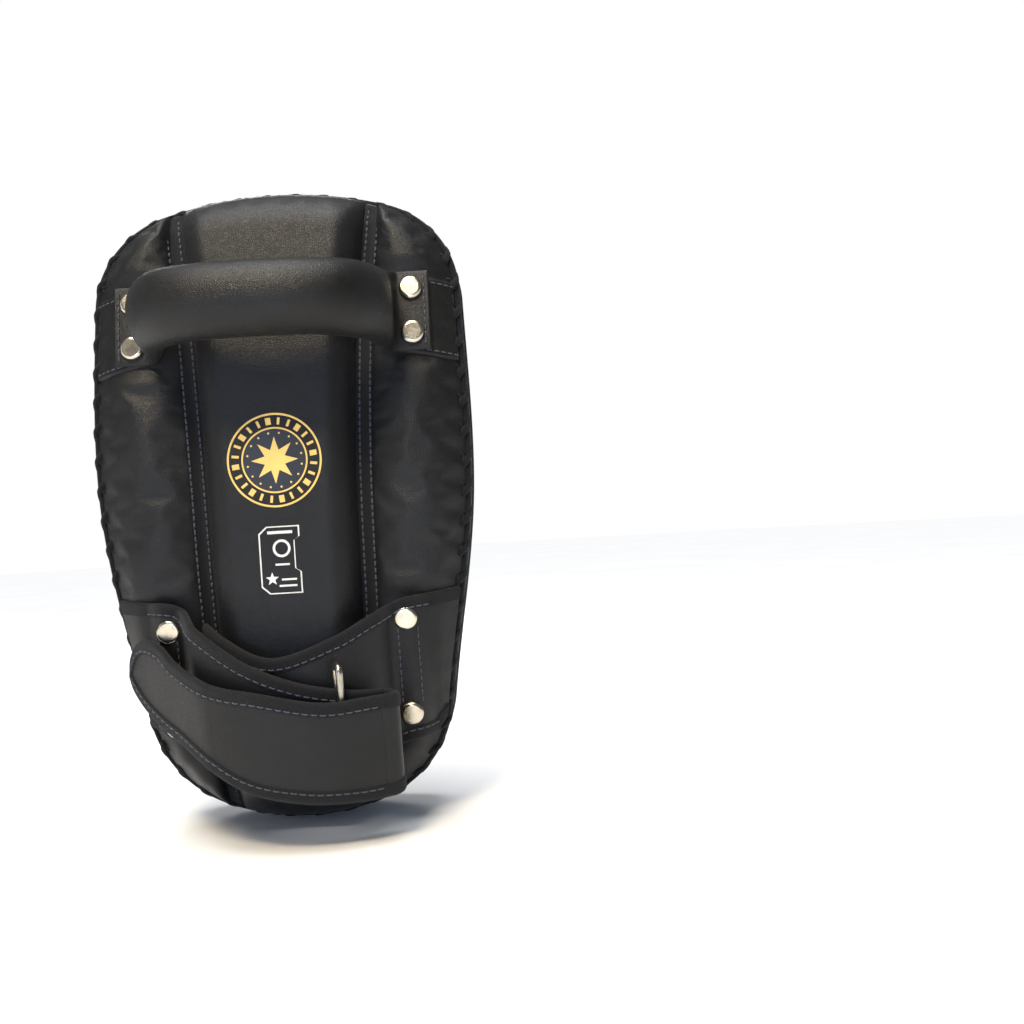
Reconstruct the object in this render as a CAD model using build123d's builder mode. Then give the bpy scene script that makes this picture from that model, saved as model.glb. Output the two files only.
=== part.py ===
"""Thai pad: a curved striking pad with a handle and a forearm cuff on its back.

Millimetres. +Z runs along the pad towards the handle end, +Y points out of the back, and the striking face
looks along -Y. The origin is on the pad's middle, level with the edge lacing. Left is +X, as seen from behind.
The pad is bent about a far axis in front of the face, so every layer lies between two concentric cylinders,
and a layer's level is its distance behind the lacing.
"""

import os
from math import hypot, sqrt

from build123d import *

os.makedirs("parts", exist_ok=True)

# Body
PAD_TOP = 185.0
PAD_BOTTOM = -185.0
FLANK_X = 107.0
FLANK_Z = 10.0
BEND_RADIUS = 780.0
FACE_LEVEL = -50.0
SEAM_LEVEL = -38.0
PIPING = 3.0
LACING_HALF = 3.5
SIDE_LEVEL = 14.0
CENTRE_LEVEL = 28.0
LEATHER = 2.0
FACE_RIM = 11.0
BACK_RIM = 10.0
CENTRE_END_RIM = 16.0
CENTRE_SIDE_RIM = 11.0
FOAM_JOIN_FRONT = -27.0
FOAM_JOIN_BACK = -11.0
SEAM_X_BOTTOM = 37.0
SEAM_X_TOP = 54.0
TAPE_WIDTH = 9.0
TAPE = 1.2
REACH = 150.0

# Handle: its two ends rise from tabs, and the grip runs level between them
HANDLE_Z = 107.0
HANDLE_RIVET_X = 80.0
HANDLE_RIVET_PITCH = 26.0
GRIP_HEIGHT = 44.0
GRIP_DEPTH = 32.0
GRIP_Y = 71.0
GRIP_SHOULDER_X = 59.0
GRIP_SHOULDER_Y = 44.0
GRIP_CORNER = 22.0
GRIP_END_X = 77.0
GRIP_END_Y = 19.8
GRIP_END_HEIGHT = 28.0
GRIP_END_DEPTH = 13.0
PATCH = 2.2
TAB = 3.0
HANDLE_PATCH = [(67.5, 85), (67.5, 131), (130, 124), (130, 76)]
HANDLE_TAB = [(67.5, HANDLE_Z - 23), (67.5, HANDLE_Z + 23), (90, HANDLE_Z + 22), (90, HANDLE_Z - 24)]

# Cuff: its sections lie on one plane across the pad, in arcs about one centre given in x and height
CUFF_Z = -105.0
CUFF_CENTRE_X = -4.0
CUFF_CENTRE_H = -22.0
TONGUE_RADIUS = 71.8
STRAP_RADIUS = 83.0
FLAP_RADIUS = 93.5
STRAP = 3.4
BINDING = 0.8
BINDING_WIDTH = 4.5
BASE_H = 18.9
BASE_BEND_X = 57.0
BASE_END_X = 76.0
TONGUE_RISE_X = -53.0
TONGUE_END_X = 43.0
STRAP_RISE_X = 49.0
FLAP_BEND_X = 40.0
FLAP_SIDE = [(60, 43.5), (90, 17)]
CUFF_REACH = 80.0
FOLD_START_X = -54.0
FOLD_MIDWAY_X = -59.6
FOLD_MIDWAY_RISE = 2.0
FOLD_X = -61.5
FOLD_GAP = 1.2
CUFF_RIVET_X = 67.0
CUFF_RIVET_Z = (-68.0, -123.0)
BASE_PATCH = [(63.5, -137), (63.5, -56), (130, -51), (130, -123)]

# Cuff edges, as x and z
TONGUE_TOP = [(-80, -56), (-62, -57), (-28, -75), (4, -84), (30, -73), (48, -60)]
TONGUE_BOTTOM = [(48, -136), (20, -152), (-4, -158), (-30, -154), (-62, -140), (-80, -137)]
STRAP_TOP = [(80, -52), (60, -54), (45, -66), (18, -84), (-9, -96), (-55, -105), (-72, -106)]
STRAP_BOTTOM = [(-72, -159), (-55, -158), (-9, -153), (18, -144), (45, -133), (62, -130), (80, -128)]
FLAP_TOP = [(-72, -106), (-24, -107), (8, -100), (34, -95), (56, -85), (66, -74), (82, -72)]
FLAP_BOTTOM = [(94, -98), (80, -117), (56, -129), (22, -151), (-10, -159.5), (-36, -162), (-72, -161)]
FLAP_CORNER = 8.0

# Hook tape under the flap, and loop tape on the strap below it
FASTENER = 1.0
HOOK_TAPE_SPAN = (-5, 39)
LOOP_TAPE_SPAN = (-12, 44)
HOOK_TAPE = [(0, -112), (36, -105), (36, -131), (0, -146)]
LOOP_TAPE = [(-8, -104), (40, -80), (40, -124), (-8, -148)]

# Ring: two long bars, one in its leather tab and one over the strap
WIRE_RADIUS = 2.0
RING_X = -30.0
RING_BAR_RADIUS = 77.4
RING_HEIGHT = 11.0
RING_TOP = 24.0
RING_BOTTOM = -50.0
RING_CORNER = 3.5
RING_PLAY = 0.3
RING_TAB = 1.2
RING_TAB_SPAN = (-56, -27)
RING_TAB_OUTLINE = [(-62, -133), (-62, -107), (-20, -112), (-20, -145)]

# Rivets
CAP_RADIUS = 6.8
CAP_HEIGHT = 2.6
POST_RADIUS = 1.5
POST_DEPTH = 6.0
WASHER_RADIUS = 5.5
WASHER = 1.0

# Printed marks: x and z of their outlines, and the z and radius of the round ones
PRINT = 0.4
CREST = [(-69, 70), (-50, 58), (50, 58), (69, 70), (62, 132), (30, 143), (-30, 143), (-62, 132)]
LABEL = [(-11.5, -50), (11.5, -50), (11.5, -12), (-11.5, -12)]
FACE_STAMP = (-137, 26)
BACK_STAMP = (25, 27)


def save(part, name):
    """Label a finished piece and write it."""
    part.label = name
    export_step(part, f"parts/{name}.step")


def outline(inset=0.0):
    """The pad's outline from behind: broad at the handle end, narrow at the cuff."""
    with BuildLine():
        top = TangentArc((0, PAD_TOP), (66, 175), tangent=(1, 0))
        shoulder = TangentArc(top @ 1, (106, 122), tangent=top % 1)
        bottom = TangentArc((0, PAD_BOTTOM), (46, -176), tangent=(1, 0))
        heel = TangentArc(bottom @ 1, (88, -122), tangent=bottom % 1)

    def inside(line, turn):
        """The end of an arc, moved towards the middle of the pad."""
        return line @ 1 + (line % 1).rotate(Axis.Z, turn) * inset

    with BuildSketch() as shape:
        with BuildLine():
            TangentArc((0, PAD_TOP - inset), inside(top, -90), tangent=(1, 0))
            TangentArc(inside(top, -90), inside(shoulder, -90), tangent=top % 1)
            TangentArc((0, PAD_BOTTOM + inset), inside(bottom, 90), tangent=(1, 0))
            TangentArc(inside(bottom, 90), inside(heel, 90), tangent=bottom % 1)
            Spline(
                inside(shoulder, -90), (FLANK_X - inset, FLANK_Z), inside(heel, 90),
                tangents=(shoulder % 1, -(heel % 1)),
            )
            mirror(about=Plane.YZ)
        make_face()
    return shape.sketch


def layer(inset, low, high, rim=0.0, front=False):
    """A slice of the bent pad between two levels, with its back (or front) edge rounded by rim."""
    edge_level = low if front else high

    def on_edge(edge):
        middle = edge @ 0.5
        return abs(hypot(middle.Y + BEND_RADIUS, middle.Z) - BEND_RADIUS - edge_level) < 0.2

    with BuildPart() as block:
        with BuildSketch(Plane.XZ):
            add(outline(inset))
        extrude(amount=REACH, both=True)
        with BuildSketch(Plane.YZ):
            with Locations((-BEND_RADIUS, 0)):
                Circle(BEND_RADIUS + high)
                Circle(BEND_RADIUS + low, mode=Mode.SUBTRACT)
        extrude(amount=REACH, both=True, mode=Mode.INTERSECT)
        if rim:
            fillet(block.edges().filter_by(on_edge), rim)
    return block.part


def column(points):
    """A tall prism through the pad, over an outline given in x and z."""
    with BuildPart() as prism:
        with BuildSketch(Plane.XZ):
            with BuildLine():
                Polyline(*points, close=True)
            make_face()
        extrude(amount=REACH, both=True)
    return prism.part


def seam_points(gap):
    """The long seam on the left, moved outwards by gap: it opens a little towards the handle end."""
    return [(SEAM_X_BOTTOM + gap, -200), (SEAM_X_TOP + gap, 200)]


def side(points, sign):
    """The same x, z points on the left (sign 1) or the right (sign -1)."""
    return [(sign * x, z) for x, z in points]


def on_level(x, z, level):
    """A plane on the bent pad at one level, facing out of the back."""
    radius = BEND_RADIUS + level
    y = sqrt(radius**2 - z**2) - BEND_RADIUS
    return Plane(origin=(x, y, z), x_dir=(1, 0, 0), z_dir=(0, y + BEND_RADIUS, z))


def post(x, z, top, radius=POST_RADIUS):
    """A rivet's post, from the foam up to the level of its cap."""
    with BuildPart(on_level(x, z, SIDE_LEVEL - POST_DEPTH)) as pin:
        Cylinder(radius, top - SIDE_LEVEL + POST_DEPTH, align=(Align.CENTER, Align.CENTER, Align.MIN))
    return pin.part


# Where each rivet goes through, and the level that its cap sits on
HANDLE_CAP_LEVEL = SIDE_LEVEL + PATCH + TAB + 0.3
CUFF_CAP_LEVEL = 22.4
rivet_places = [
    (sign * HANDLE_RIVET_X, HANDLE_Z + step * HANDLE_RIVET_PITCH / 2, HANDLE_CAP_LEVEL)
    for sign in (-1, 1)
    for step in (-1, 1)
]
rivet_places += [(sign * CUFF_RIVET_X, z, CUFF_CAP_LEVEL) for sign in (-1, 1) for z in CUFF_RIVET_Z]
posts = [post(x, z, top) for x, z, top in rivet_places]
washer_blanks = [post(x, z, SIDE_LEVEL - POST_DEPTH + WASHER, WASHER_RADIUS) for x, z, top in rivet_places]

# Shells shared by the pieces of the body
core_inset = LEATHER + 0.2
face_outer = layer(0, FACE_LEVEL, SEAM_LEVEL, FACE_RIM, front=True)
face_inner = layer(LEATHER, FACE_LEVEL + LEATHER, SEAM_LEVEL, FACE_RIM - LEATHER, front=True)
back_outer = layer(0, LACING_HALF, SIDE_LEVEL, BACK_RIM)
back_inner = layer(LEATHER, LACING_HALF, SIDE_LEVEL - LEATHER, BACK_RIM - LEATHER)
tape_outer = layer(-TAPE, LACING_HALF, SIDE_LEVEL + TAPE, BACK_RIM + TAPE)
patch_outer = layer(-PATCH, LACING_HALF, SIDE_LEVEL + PATCH, BACK_RIM + PATCH)

# ---- Foam layers
with BuildPart() as foam_front:
    add(layer(core_inset, FACE_LEVEL + core_inset, FOAM_JOIN_FRONT, FACE_RIM - core_inset, front=True))
save(foam_front.part, "foam_front")

with BuildPart() as foam_middle:
    add(layer(core_inset, FOAM_JOIN_FRONT, FOAM_JOIN_BACK))
save(foam_middle.part, "foam_middle")

with BuildPart() as foam_back:
    add(layer(core_inset, FOAM_JOIN_BACK, LACING_HALF))
save(foam_back.part, "foam_back")

# ---- Striking face, piping, side band and the lacing round the back rim
with BuildPart() as face_panel:
    add(face_outer)
    add(face_inner, mode=Mode.SUBTRACT)
save(face_panel.part, "face_panel")


def rim_ring(outset, inset, low, high):
    """A closed wall round the pad between two levels."""
    outer = layer(-outset, low, high)
    inner = layer(inset, low, high)
    with BuildPart() as ring_wall:
        add(outer)
        add(inner, mode=Mode.SUBTRACT)
    return ring_wall.part


save(rim_ring(0.8, LEATHER, SEAM_LEVEL, SEAM_LEVEL + PIPING), "face_piping")
save(rim_ring(0, LEATHER, SEAM_LEVEL + PIPING, -LACING_HALF), "side_band")
save(rim_ring(2.5, 1.5, -LACING_HALF, LACING_HALF), "edge_lacing")

# ---- Raised centre of the back, between the two long seams
def raised_centre(inset, high):
    """The back's centre between the seams, rounded at its ends and along its two long edges."""
    between = column(side(seam_points(-0.2 - inset), 1) + side(seam_points(-0.2 - inset), -1)[::-1])
    block = layer(1 + inset, LACING_HALF, high, CENTRE_END_RIM - inset)

    def long_top(edge):
        middle = edge @ 0.5
        level = hypot(middle.Y + BEND_RADIUS, middle.Z) - BEND_RADIUS
        return edge.length > 250 and abs(level - high) < 0.2

    with BuildPart() as centre:
        add(block)
        add(between, mode=Mode.INTERSECT)
        fillet(centre.edges().filter_by(long_top), CENTRE_SIDE_RIM - inset)
    return centre.part


forearm_foam = raised_centre(LEATHER, CENTRE_LEVEL - LEATHER)
save(forearm_foam, "forearm_cushion")

with BuildPart() as back_panel_centre:
    add(raised_centre(0, CENTRE_LEVEL))
    add(forearm_foam, mode=Mode.SUBTRACT)
save(back_panel_centre.part, "back_panel_centre")

# ---- Side cushions, side panels, seam tapes and base patches, the same on the left and the right

for hand, sign in (("left", 1), ("right", -1)):
    outside = column(side(seam_points(0.2) + [(200, 200), (200, -200)], sign))
    inside = column(side(seam_points(0.2 + LEATHER) + [(200, 200), (200, -200)], sign))
    tape_strip = seam_points(0.2) + seam_points(0.2 + TAPE_WIDTH)[::-1]
    with BuildPart() as cushion_space:
        add(back_inner)
        add(inside, mode=Mode.INTERSECT)

    with BuildPart() as side_cushion:
        add(cushion_space.part)
        add(posts + washer_blanks, mode=Mode.SUBTRACT)
    save(side_cushion.part, f"side_cushion_{hand}")

    with BuildPart() as back_panel:
        add(back_outer)
        add(outside, mode=Mode.INTERSECT)
        add(cushion_space.part, mode=Mode.SUBTRACT)
        add(posts, mode=Mode.SUBTRACT)
    save(back_panel.part, f"back_panel_{hand}")

    with BuildPart() as seam_tape:
        add(tape_outer)
        add(back_outer, mode=Mode.SUBTRACT)
        add(column(side(tape_strip, sign)), mode=Mode.INTERSECT)
    save(seam_tape.part, f"seam_tape_{hand}")

    for name, shape in (("handle_patch", HANDLE_PATCH), ("strap_base", BASE_PATCH)):
        with BuildPart() as patch:
            add(patch_outer)
            add(back_outer, mode=Mode.SUBTRACT)
            add(column(side(shape, sign)), mode=Mode.INTERSECT)
            add(posts, mode=Mode.SUBTRACT)
        save(patch.part, f"{name}_{hand}")

    with BuildPart() as handle_tab:
        add(layer(3, SIDE_LEVEL + PATCH, SIDE_LEVEL + PATCH + TAB))
        add(column(side(HANDLE_TAB, sign)), mode=Mode.INTERSECT)
        add(posts, mode=Mode.SUBTRACT)
    save(handle_tab.part, f"handle_tab_{hand}")


# ---- Rivets and the washers inside the cushions


def rivet_cap(x, z, level):
    """A domed cap that sits on one level."""
    with BuildPart(on_level(x, z, level)) as cap:
        Cylinder(CAP_RADIUS, CAP_HEIGHT, align=(Align.CENTER, Align.CENTER, Align.MIN))
        fillet(cap.faces().sort_by(Axis.Y)[-1].edges(), 2)
    return cap.part


caps = [rivet_cap(*place) for place in rivet_places]
with BuildPart() as rivets:
    add(posts)
    add(caps)
save(rivets.part, "rivets")

with BuildPart() as rivet_washers:
    add(washer_blanks)
    add(posts, mode=Mode.SUBTRACT)
save(rivet_washers.part, "rivet_washers")


# ---- Handle: a stuffed leather grip on a dense core
def grip(shrink):
    """The grip's solid: a level tube with rounded corners, and an end on each side that narrows to its tab."""
    shoulder_depth = GRIP_DEPTH / 2 - shrink
    shoulder_height = GRIP_HEIGHT / 2 - shrink
    end_y = GRIP_END_Y + shrink
    with BuildPart() as solid:
        with BuildLine(Plane.XY.offset(HANDLE_Z)):
            FilletPolyline(
                (-GRIP_SHOULDER_X, GRIP_SHOULDER_Y),
                (-GRIP_SHOULDER_X, GRIP_Y),
                (GRIP_SHOULDER_X, GRIP_Y),
                (GRIP_SHOULDER_X, GRIP_SHOULDER_Y),
                radius=GRIP_CORNER,
            )
        with BuildSketch(Plane.XZ.offset(-GRIP_SHOULDER_Y)):
            with Locations((-GRIP_SHOULDER_X, HANDLE_Z)):
                Ellipse(shoulder_depth, shoulder_height)
        sweep()
        for sign in (-1, 1):
            with BuildSketch(Plane.XZ.offset(-end_y)):
                with Locations((sign * GRIP_END_X, HANDLE_Z)):
                    Ellipse(GRIP_END_DEPTH / 2 - shrink / 2, GRIP_END_HEIGHT / 2 - shrink)
            with BuildSketch(Plane.XZ.offset(-GRIP_SHOULDER_Y)):
                with Locations((sign * GRIP_SHOULDER_X, HANDLE_Z)):
                    Ellipse(shoulder_depth, shoulder_height)
            loft()
    return solid.part


handle_core = grip(LEATHER)
save(handle_core, "handle_core")

with BuildPart() as handle_cover:
    add(grip(0))
    add(handle_core, mode=Mode.SUBTRACT)
save(handle_cover.part, "handle_cover")


# ---- Cuff
cuff_y = sqrt(BEND_RADIUS**2 - CUFF_Z**2) - BEND_RADIUS
cuff_plane = Plane(origin=(0, cuff_y, CUFF_Z), x_dir=(1, 0, 0), z_dir=(0, -CUFF_Z, cuff_y + BEND_RADIUS))


def arc_point(radius, x):
    """The point at x on a cuff arc, as x and height."""
    return (x, CUFF_CENTRE_H + sqrt(radius**2 - (x - CUFF_CENTRE_X) ** 2))


def cuff_arc(radius, x_from, x_to):
    """A cuff arc between two places across the pad."""
    middle = arc_point(radius, (x_from + x_to) / 2)
    return ThreePointArc(arc_point(radius, x_from), middle, arc_point(radius, x_to))


fold_h = (arc_point(STRAP_RADIUS, FOLD_START_X)[1] + arc_point(FLAP_RADIUS, FOLD_START_X)[1]) / 2


def tongue_line():
    """Flat on its base on the right, then over the forearm."""
    Polyline((-BASE_END_X, BASE_H), (-BASE_BEND_X, BASE_H), arc_point(TONGUE_RADIUS, TONGUE_RISE_X))
    cuff_arc(TONGUE_RADIUS, TONGUE_RISE_X, TONGUE_END_X)


def strap_line():
    """Flat on its base on the left, over the tongue, and round to the middle of the fold."""
    Polyline((BASE_END_X, BASE_H), (BASE_BEND_X, BASE_H), arc_point(STRAP_RADIUS, STRAP_RISE_X))
    cuff_arc(STRAP_RADIUS, STRAP_RISE_X, FOLD_START_X)
    start = arc_point(STRAP_RADIUS, FOLD_START_X)
    ThreePointArc(start, (FOLD_MIDWAY_X, start[1] + FOLD_MIDWAY_RISE), (FOLD_X, fold_h - FOLD_GAP / 2))


def flap_line():
    """From the middle of the fold, over the ring, and down on to the left side."""
    start = arc_point(FLAP_RADIUS, FOLD_START_X)
    ThreePointArc((FOLD_X, fold_h + FOLD_GAP / 2), (FOLD_MIDWAY_X, start[1] - FOLD_MIDWAY_RISE), start)
    cuff_arc(FLAP_RADIUS, FOLD_START_X, FLAP_BEND_X)
    Polyline(arc_point(FLAP_RADIUS, FLAP_BEND_X), *FLAP_SIDE)


def ribbon(line, thickness):
    """A band of one thickness along a cuff line, tall enough to be trimmed to any cuff outline."""
    with BuildPart() as band:
        with BuildSketch(cuff_plane.offset(-CUFF_REACH)):
            with BuildLine():
                line()
            trace(line_width=thickness)
        extrude(amount=2 * CUFF_REACH)
    return band.part


def cuff_prism(top, bottom, corner=0.0):
    """A prism through the cuff between a curved top edge and a curved bottom edge, both given in x and z."""
    with BuildPart() as prism:
        with BuildSketch(Plane.XZ) as shape:
            with BuildLine():
                Spline(*top)
                Line(top[-1], bottom[0])
                Spline(*bottom)
                Line(bottom[-1], top[0])
            make_face()
            if corner:
                fillet(shape.vertices().sort_by(Axis.X)[-2:], corner)
        extrude(amount=REACH, both=True)
    return prism.part


def shifted(points, dx, dz):
    """Points of an edge, moved across and along the pad."""
    return [(x + dx, z + dz) for x, z in points]


def bound_sheet(name, line, top, bottom, corner=0.0, cut=None):
    """A leather sheet of the cuff, and the tape that binds its long edges and its free end."""
    band = ribbon(line, STRAP)
    thick_band = ribbon(line, STRAP + 2 * BINDING)
    width = BINDING_WIDTH
    whole = cuff_prism(top, bottom, corner)
    outer = cuff_prism(shifted(top, BINDING, BINDING), shifted(bottom, BINDING, -BINDING), corner)
    inner = cuff_prism(shifted(top, -width, -width), shifted(bottom, -width, width), corner)
    with BuildPart() as sheet:
        add(band)
        add(whole, mode=Mode.INTERSECT)
        if cut:
            add(cut, mode=Mode.SUBTRACT)
    save(sheet.part, name)
    with BuildPart() as binding:
        add(thick_band)
        add(outer, mode=Mode.INTERSECT)
        add(inner, mode=Mode.SUBTRACT)
        add(sheet.part, mode=Mode.SUBTRACT)
        if cut:
            add(cut, mode=Mode.SUBTRACT)
    save(binding.part, f"{name}_binding")


bound_sheet("tongue", tongue_line, TONGUE_TOP, TONGUE_BOTTOM, cut=posts)
bound_sheet("strap_inner", strap_line, STRAP_TOP, STRAP_BOTTOM, cut=posts)
bound_sheet("strap_flap", flap_line, FLAP_TOP, FLAP_BOTTOM, corner=FLAP_CORNER)

fastener_offset = STRAP / 2 + FASTENER / 2

with BuildPart() as hook_tape:
    add(ribbon(lambda: cuff_arc(FLAP_RADIUS - fastener_offset, *HOOK_TAPE_SPAN), FASTENER))
    add(column(HOOK_TAPE), mode=Mode.INTERSECT)
save(hook_tape.part, "hook_tape")

with BuildPart() as loop_tape:
    add(ribbon(lambda: cuff_arc(STRAP_RADIUS + fastener_offset, *LOOP_TAPE_SPAN), FASTENER))
    add(column(LOOP_TAPE), mode=Mode.INTERSECT)
save(loop_tape.part, "loop_tape")

# ---- Wire ring, captive in a leather tab on the tongue
bar_x, bar_h = arc_point(RING_BAR_RADIUS, RING_X)
outward = Vector(bar_x - CUFF_CENTRE_X, bar_h - CUFF_CENTRE_H, 0).normalized()
bar_point = cuff_plane.from_local_coords(Vector(bar_x, bar_h, 0))
outward_end = cuff_plane.from_local_coords(Vector(bar_x, bar_h, 0) + outward)
along = cuff_plane.z_dir
ring_plane = Plane(origin=bar_point, x_dir=outward_end - bar_point, z_dir=(outward_end - bar_point).cross(along))
bar_plane = Plane(origin=bar_point, x_dir=outward_end - bar_point, z_dir=along)

with BuildPart() as ring:
    with BuildLine(ring_plane) as wire:
        FilletPolyline(
            (0, RING_BOTTOM), (RING_HEIGHT, RING_BOTTOM), (RING_HEIGHT, RING_TOP), (0, RING_TOP),
            radius=RING_CORNER,
            close=True,
        )
    with BuildSketch(Plane(origin=wire.line @ 0, x_dir=ring_plane.x_dir, z_dir=wire.line % 0)):
        Circle(WIRE_RADIUS)
    sweep()
save(ring.part, "ring")

with BuildPart() as ring_bar_space:
    with BuildSketch(bar_plane.offset(-60)):
        Circle(WIRE_RADIUS + RING_PLAY)
    extrude(amount=120)

with BuildPart() as ring_tab:
    add(ribbon(lambda: cuff_arc(TONGUE_RADIUS + STRAP / 2 + RING_TAB / 2, *RING_TAB_SPAN), RING_TAB))
    with BuildSketch(bar_plane.offset(-60)):
        Circle(WIRE_RADIUS + RING_PLAY + RING_TAB)
    extrude(amount=120)
    add(column(RING_TAB_OUTLINE), mode=Mode.INTERSECT)
    add(ring_bar_space.part, mode=Mode.SUBTRACT)
save(ring_tab.part, "ring_tab")


# ---- Printed marks: thin films on the face and the back
def disc(z, radius):
    """A prism through the pad over a circle on its middle line."""
    with BuildPart() as round_prism:
        with BuildSketch(Plane.XZ):
            with Locations((0, z)):
                Circle(radius)
        extrude(amount=REACH, both=True)
    return round_prism.part


face_film = layer(3, FACE_LEVEL - PRINT, FACE_LEVEL)
back_film = layer(3, CENTRE_LEVEL, CENTRE_LEVEL + PRINT)
marks = (
    ("face_crest", face_film, column(CREST)),
    ("face_stamp", face_film, disc(*FACE_STAMP)),
    ("back_stamp", back_film, disc(*BACK_STAMP)),
    ("size_label", back_film, column(LABEL)),
)
for name, film, shape in marks:
    with BuildPart() as mark:
        add(film)
        add(shape, mode=Mode.INTERSECT)
    save(mark.part, name)
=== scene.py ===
"""Looks of the thai pad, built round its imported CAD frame, in millimetres until a mesh is made."""
import math

import bmesh
import bpy
import numpy as np
from mathutils import Matrix, Vector


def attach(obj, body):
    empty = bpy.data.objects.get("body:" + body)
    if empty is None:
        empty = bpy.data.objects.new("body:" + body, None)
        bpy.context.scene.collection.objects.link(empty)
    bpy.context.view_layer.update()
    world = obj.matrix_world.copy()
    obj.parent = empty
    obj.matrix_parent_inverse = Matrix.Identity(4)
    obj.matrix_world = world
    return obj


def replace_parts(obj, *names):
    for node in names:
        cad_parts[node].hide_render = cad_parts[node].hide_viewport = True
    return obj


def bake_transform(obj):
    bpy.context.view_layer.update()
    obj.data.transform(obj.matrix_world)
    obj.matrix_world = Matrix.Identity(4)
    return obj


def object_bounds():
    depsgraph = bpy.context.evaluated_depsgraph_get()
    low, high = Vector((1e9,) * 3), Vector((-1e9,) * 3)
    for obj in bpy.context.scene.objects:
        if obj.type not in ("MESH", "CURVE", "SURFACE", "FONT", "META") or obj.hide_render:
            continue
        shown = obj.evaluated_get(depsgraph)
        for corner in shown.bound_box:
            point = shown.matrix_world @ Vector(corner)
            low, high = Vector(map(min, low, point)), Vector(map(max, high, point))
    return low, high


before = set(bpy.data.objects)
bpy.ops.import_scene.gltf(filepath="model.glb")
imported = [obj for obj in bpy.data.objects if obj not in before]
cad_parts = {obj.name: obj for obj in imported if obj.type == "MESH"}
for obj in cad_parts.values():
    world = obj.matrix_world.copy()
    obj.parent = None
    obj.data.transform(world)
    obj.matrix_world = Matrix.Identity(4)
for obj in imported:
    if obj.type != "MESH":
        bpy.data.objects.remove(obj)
cad_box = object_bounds()
MM = 0.001

# The bent pad: +Y is out of the back, and a level is a distance behind the edge lacing
BEND = 780.0
TOP, BOTTOM = 185.0, -185.0
FACE_SEAM = -38.0
FACE = -50.0
PITCHES = 58
LACE_SEEN = 0.84
SEAM = [(-200, 38.5), (-120, 40.5), (-50, 42.0), (20, 43.2),
        (85, 46.2), (130, 50.0), (170, 54.2), (200, 57.0)]
TAPE_W = 9.0
TAPE_END_GAP = 2.5
CENTRE_LEVEL = 28.0
HANDLE_Z = 107.0
TAB_LEVEL = 17.6
TAB_STITCH_X = 87.6
CUFF_Z = -105.0
CUFF_CENTRE = (-4.0, -22.0)
TONGUE_R, STRAP_R, FLAP_R = 71.8, 83.0, 93.5
FOLD_X, FOLD_START = -61.5, -54.0
SHEET = 3.2


# ---------------------------------------------------------------- shape helpers
def smooth(low, high, value):
    """0 below low, 1 above high, smooth between."""
    t = np.clip((np.asarray(value, float) - low) / (high - low), 0, 1)
    return t * t * (3 - 2 * t)


def spline(points, count):
    """Points of any size on a smooth line through the given ones, evenly spread by index."""
    p = np.asarray(points, float)
    p = np.vstack([2 * p[0] - p[1], p, 2 * p[-1] - p[-2]])
    t = np.linspace(0, len(p) - 3 - 1e-6, count)
    i = t.astype(int)
    f = (t - i)[:, None]
    a, b, c, d = p[i], p[i + 1], p[i + 2], p[i + 3]
    return 0.5 * (2 * b + (c - a) * f + (2 * a - 5 * b + 4 * c - d) * f**2 + (3 * b - a - 3 * c + d) * f**3)


def along(points, x):
    """A smooth height at x through points given as x and height."""
    p = spline(sorted(points), 400)
    return np.interp(x, p[:, 0], p[:, 1])


def tangent_arc(start, heading, end, count):
    """An arc that leaves start along heading and ends at end, with the heading there."""
    start, heading, end = (np.asarray(v, float) for v in (start, heading, end))
    heading = heading / np.linalg.norm(heading)
    chord = end - start
    left = np.array([-heading[1], heading[0]])
    half = math.atan2(chord @ left, chord @ heading)
    radius = np.linalg.norm(chord) / (2 * math.sin(half))
    a = np.linspace(0, 2 * half, count)[:, None]
    points = start + radius * (np.sin(a) * heading + (1 - np.cos(a)) * left)
    end_heading = math.cos(2 * half) * heading + math.sin(2 * half) * left
    return points, end_heading


def resample(points, count, closed=False):
    """Points at even distances along a line."""
    p = np.vstack([points, points[:1]]) if closed else np.asarray(points)
    run = np.concatenate([[0], np.cumsum(np.linalg.norm(np.diff(p, axis=0), axis=1))])
    at = np.linspace(0, run[-1], count + 1)[:-1] if closed else np.linspace(0, run[-1], count)
    return np.stack([np.interp(at, run, p[:, k]) for k in range(p.shape[1])], axis=1)


def pad_outline(count):
    """The pad's outline in x and z, clockwise from the top as x grows."""
    top, h1 = tangent_arc((0, TOP), (1, 0), (66, 175), 30)
    shoulder, h2 = tangent_arc((66, 175), h1, (106, 122), 40)
    bottom, h3 = tangent_arc((0, BOTTOM), (1, 0), (46, -176), 30)
    heel, h4 = tangent_arc((46, -176), h3, (88, -122), 40)
    t = np.linspace(0, 1, 60)[:, None]
    hermite = lambda a, ta, b, tb: (
        (2 * t**3 - 3 * t**2 + 1) * a + (t**3 - 2 * t**2 + t) * ta
        + (3 * t**2 - 2 * t**3) * b + (t**3 - t**2) * tb
    )
    flank_mid = np.array([107.0, 10.0])
    lead = np.array([-0.05, -1.0])
    flank = np.vstack([
        hermite(shoulder[-1], h2 * 112, flank_mid, lead * 112),
        hermite(flank_mid, lead * 132, heel[-1], -h4 * 132),
    ])
    half = np.vstack([top[:-1], shoulder[:-1], flank[1:-1], heel[::-1][:-1], bottom[::-1]])
    other = half[::-1][1:-1] * np.array([-1, 1])
    return resample(np.vstack([half, other]), count, closed=True)


SEAM_LINE = spline([(x, z) for z, x in SEAM], 300)
RIM = pad_outline(PITCHES * 12)
step = np.roll(RIM, -1, 0) - np.roll(RIM, 1, 0)
RIM_IN = np.stack([step[:, 1], -step[:, 0]], 1) / np.linalg.norm(step, axis=1)[:, None]


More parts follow.
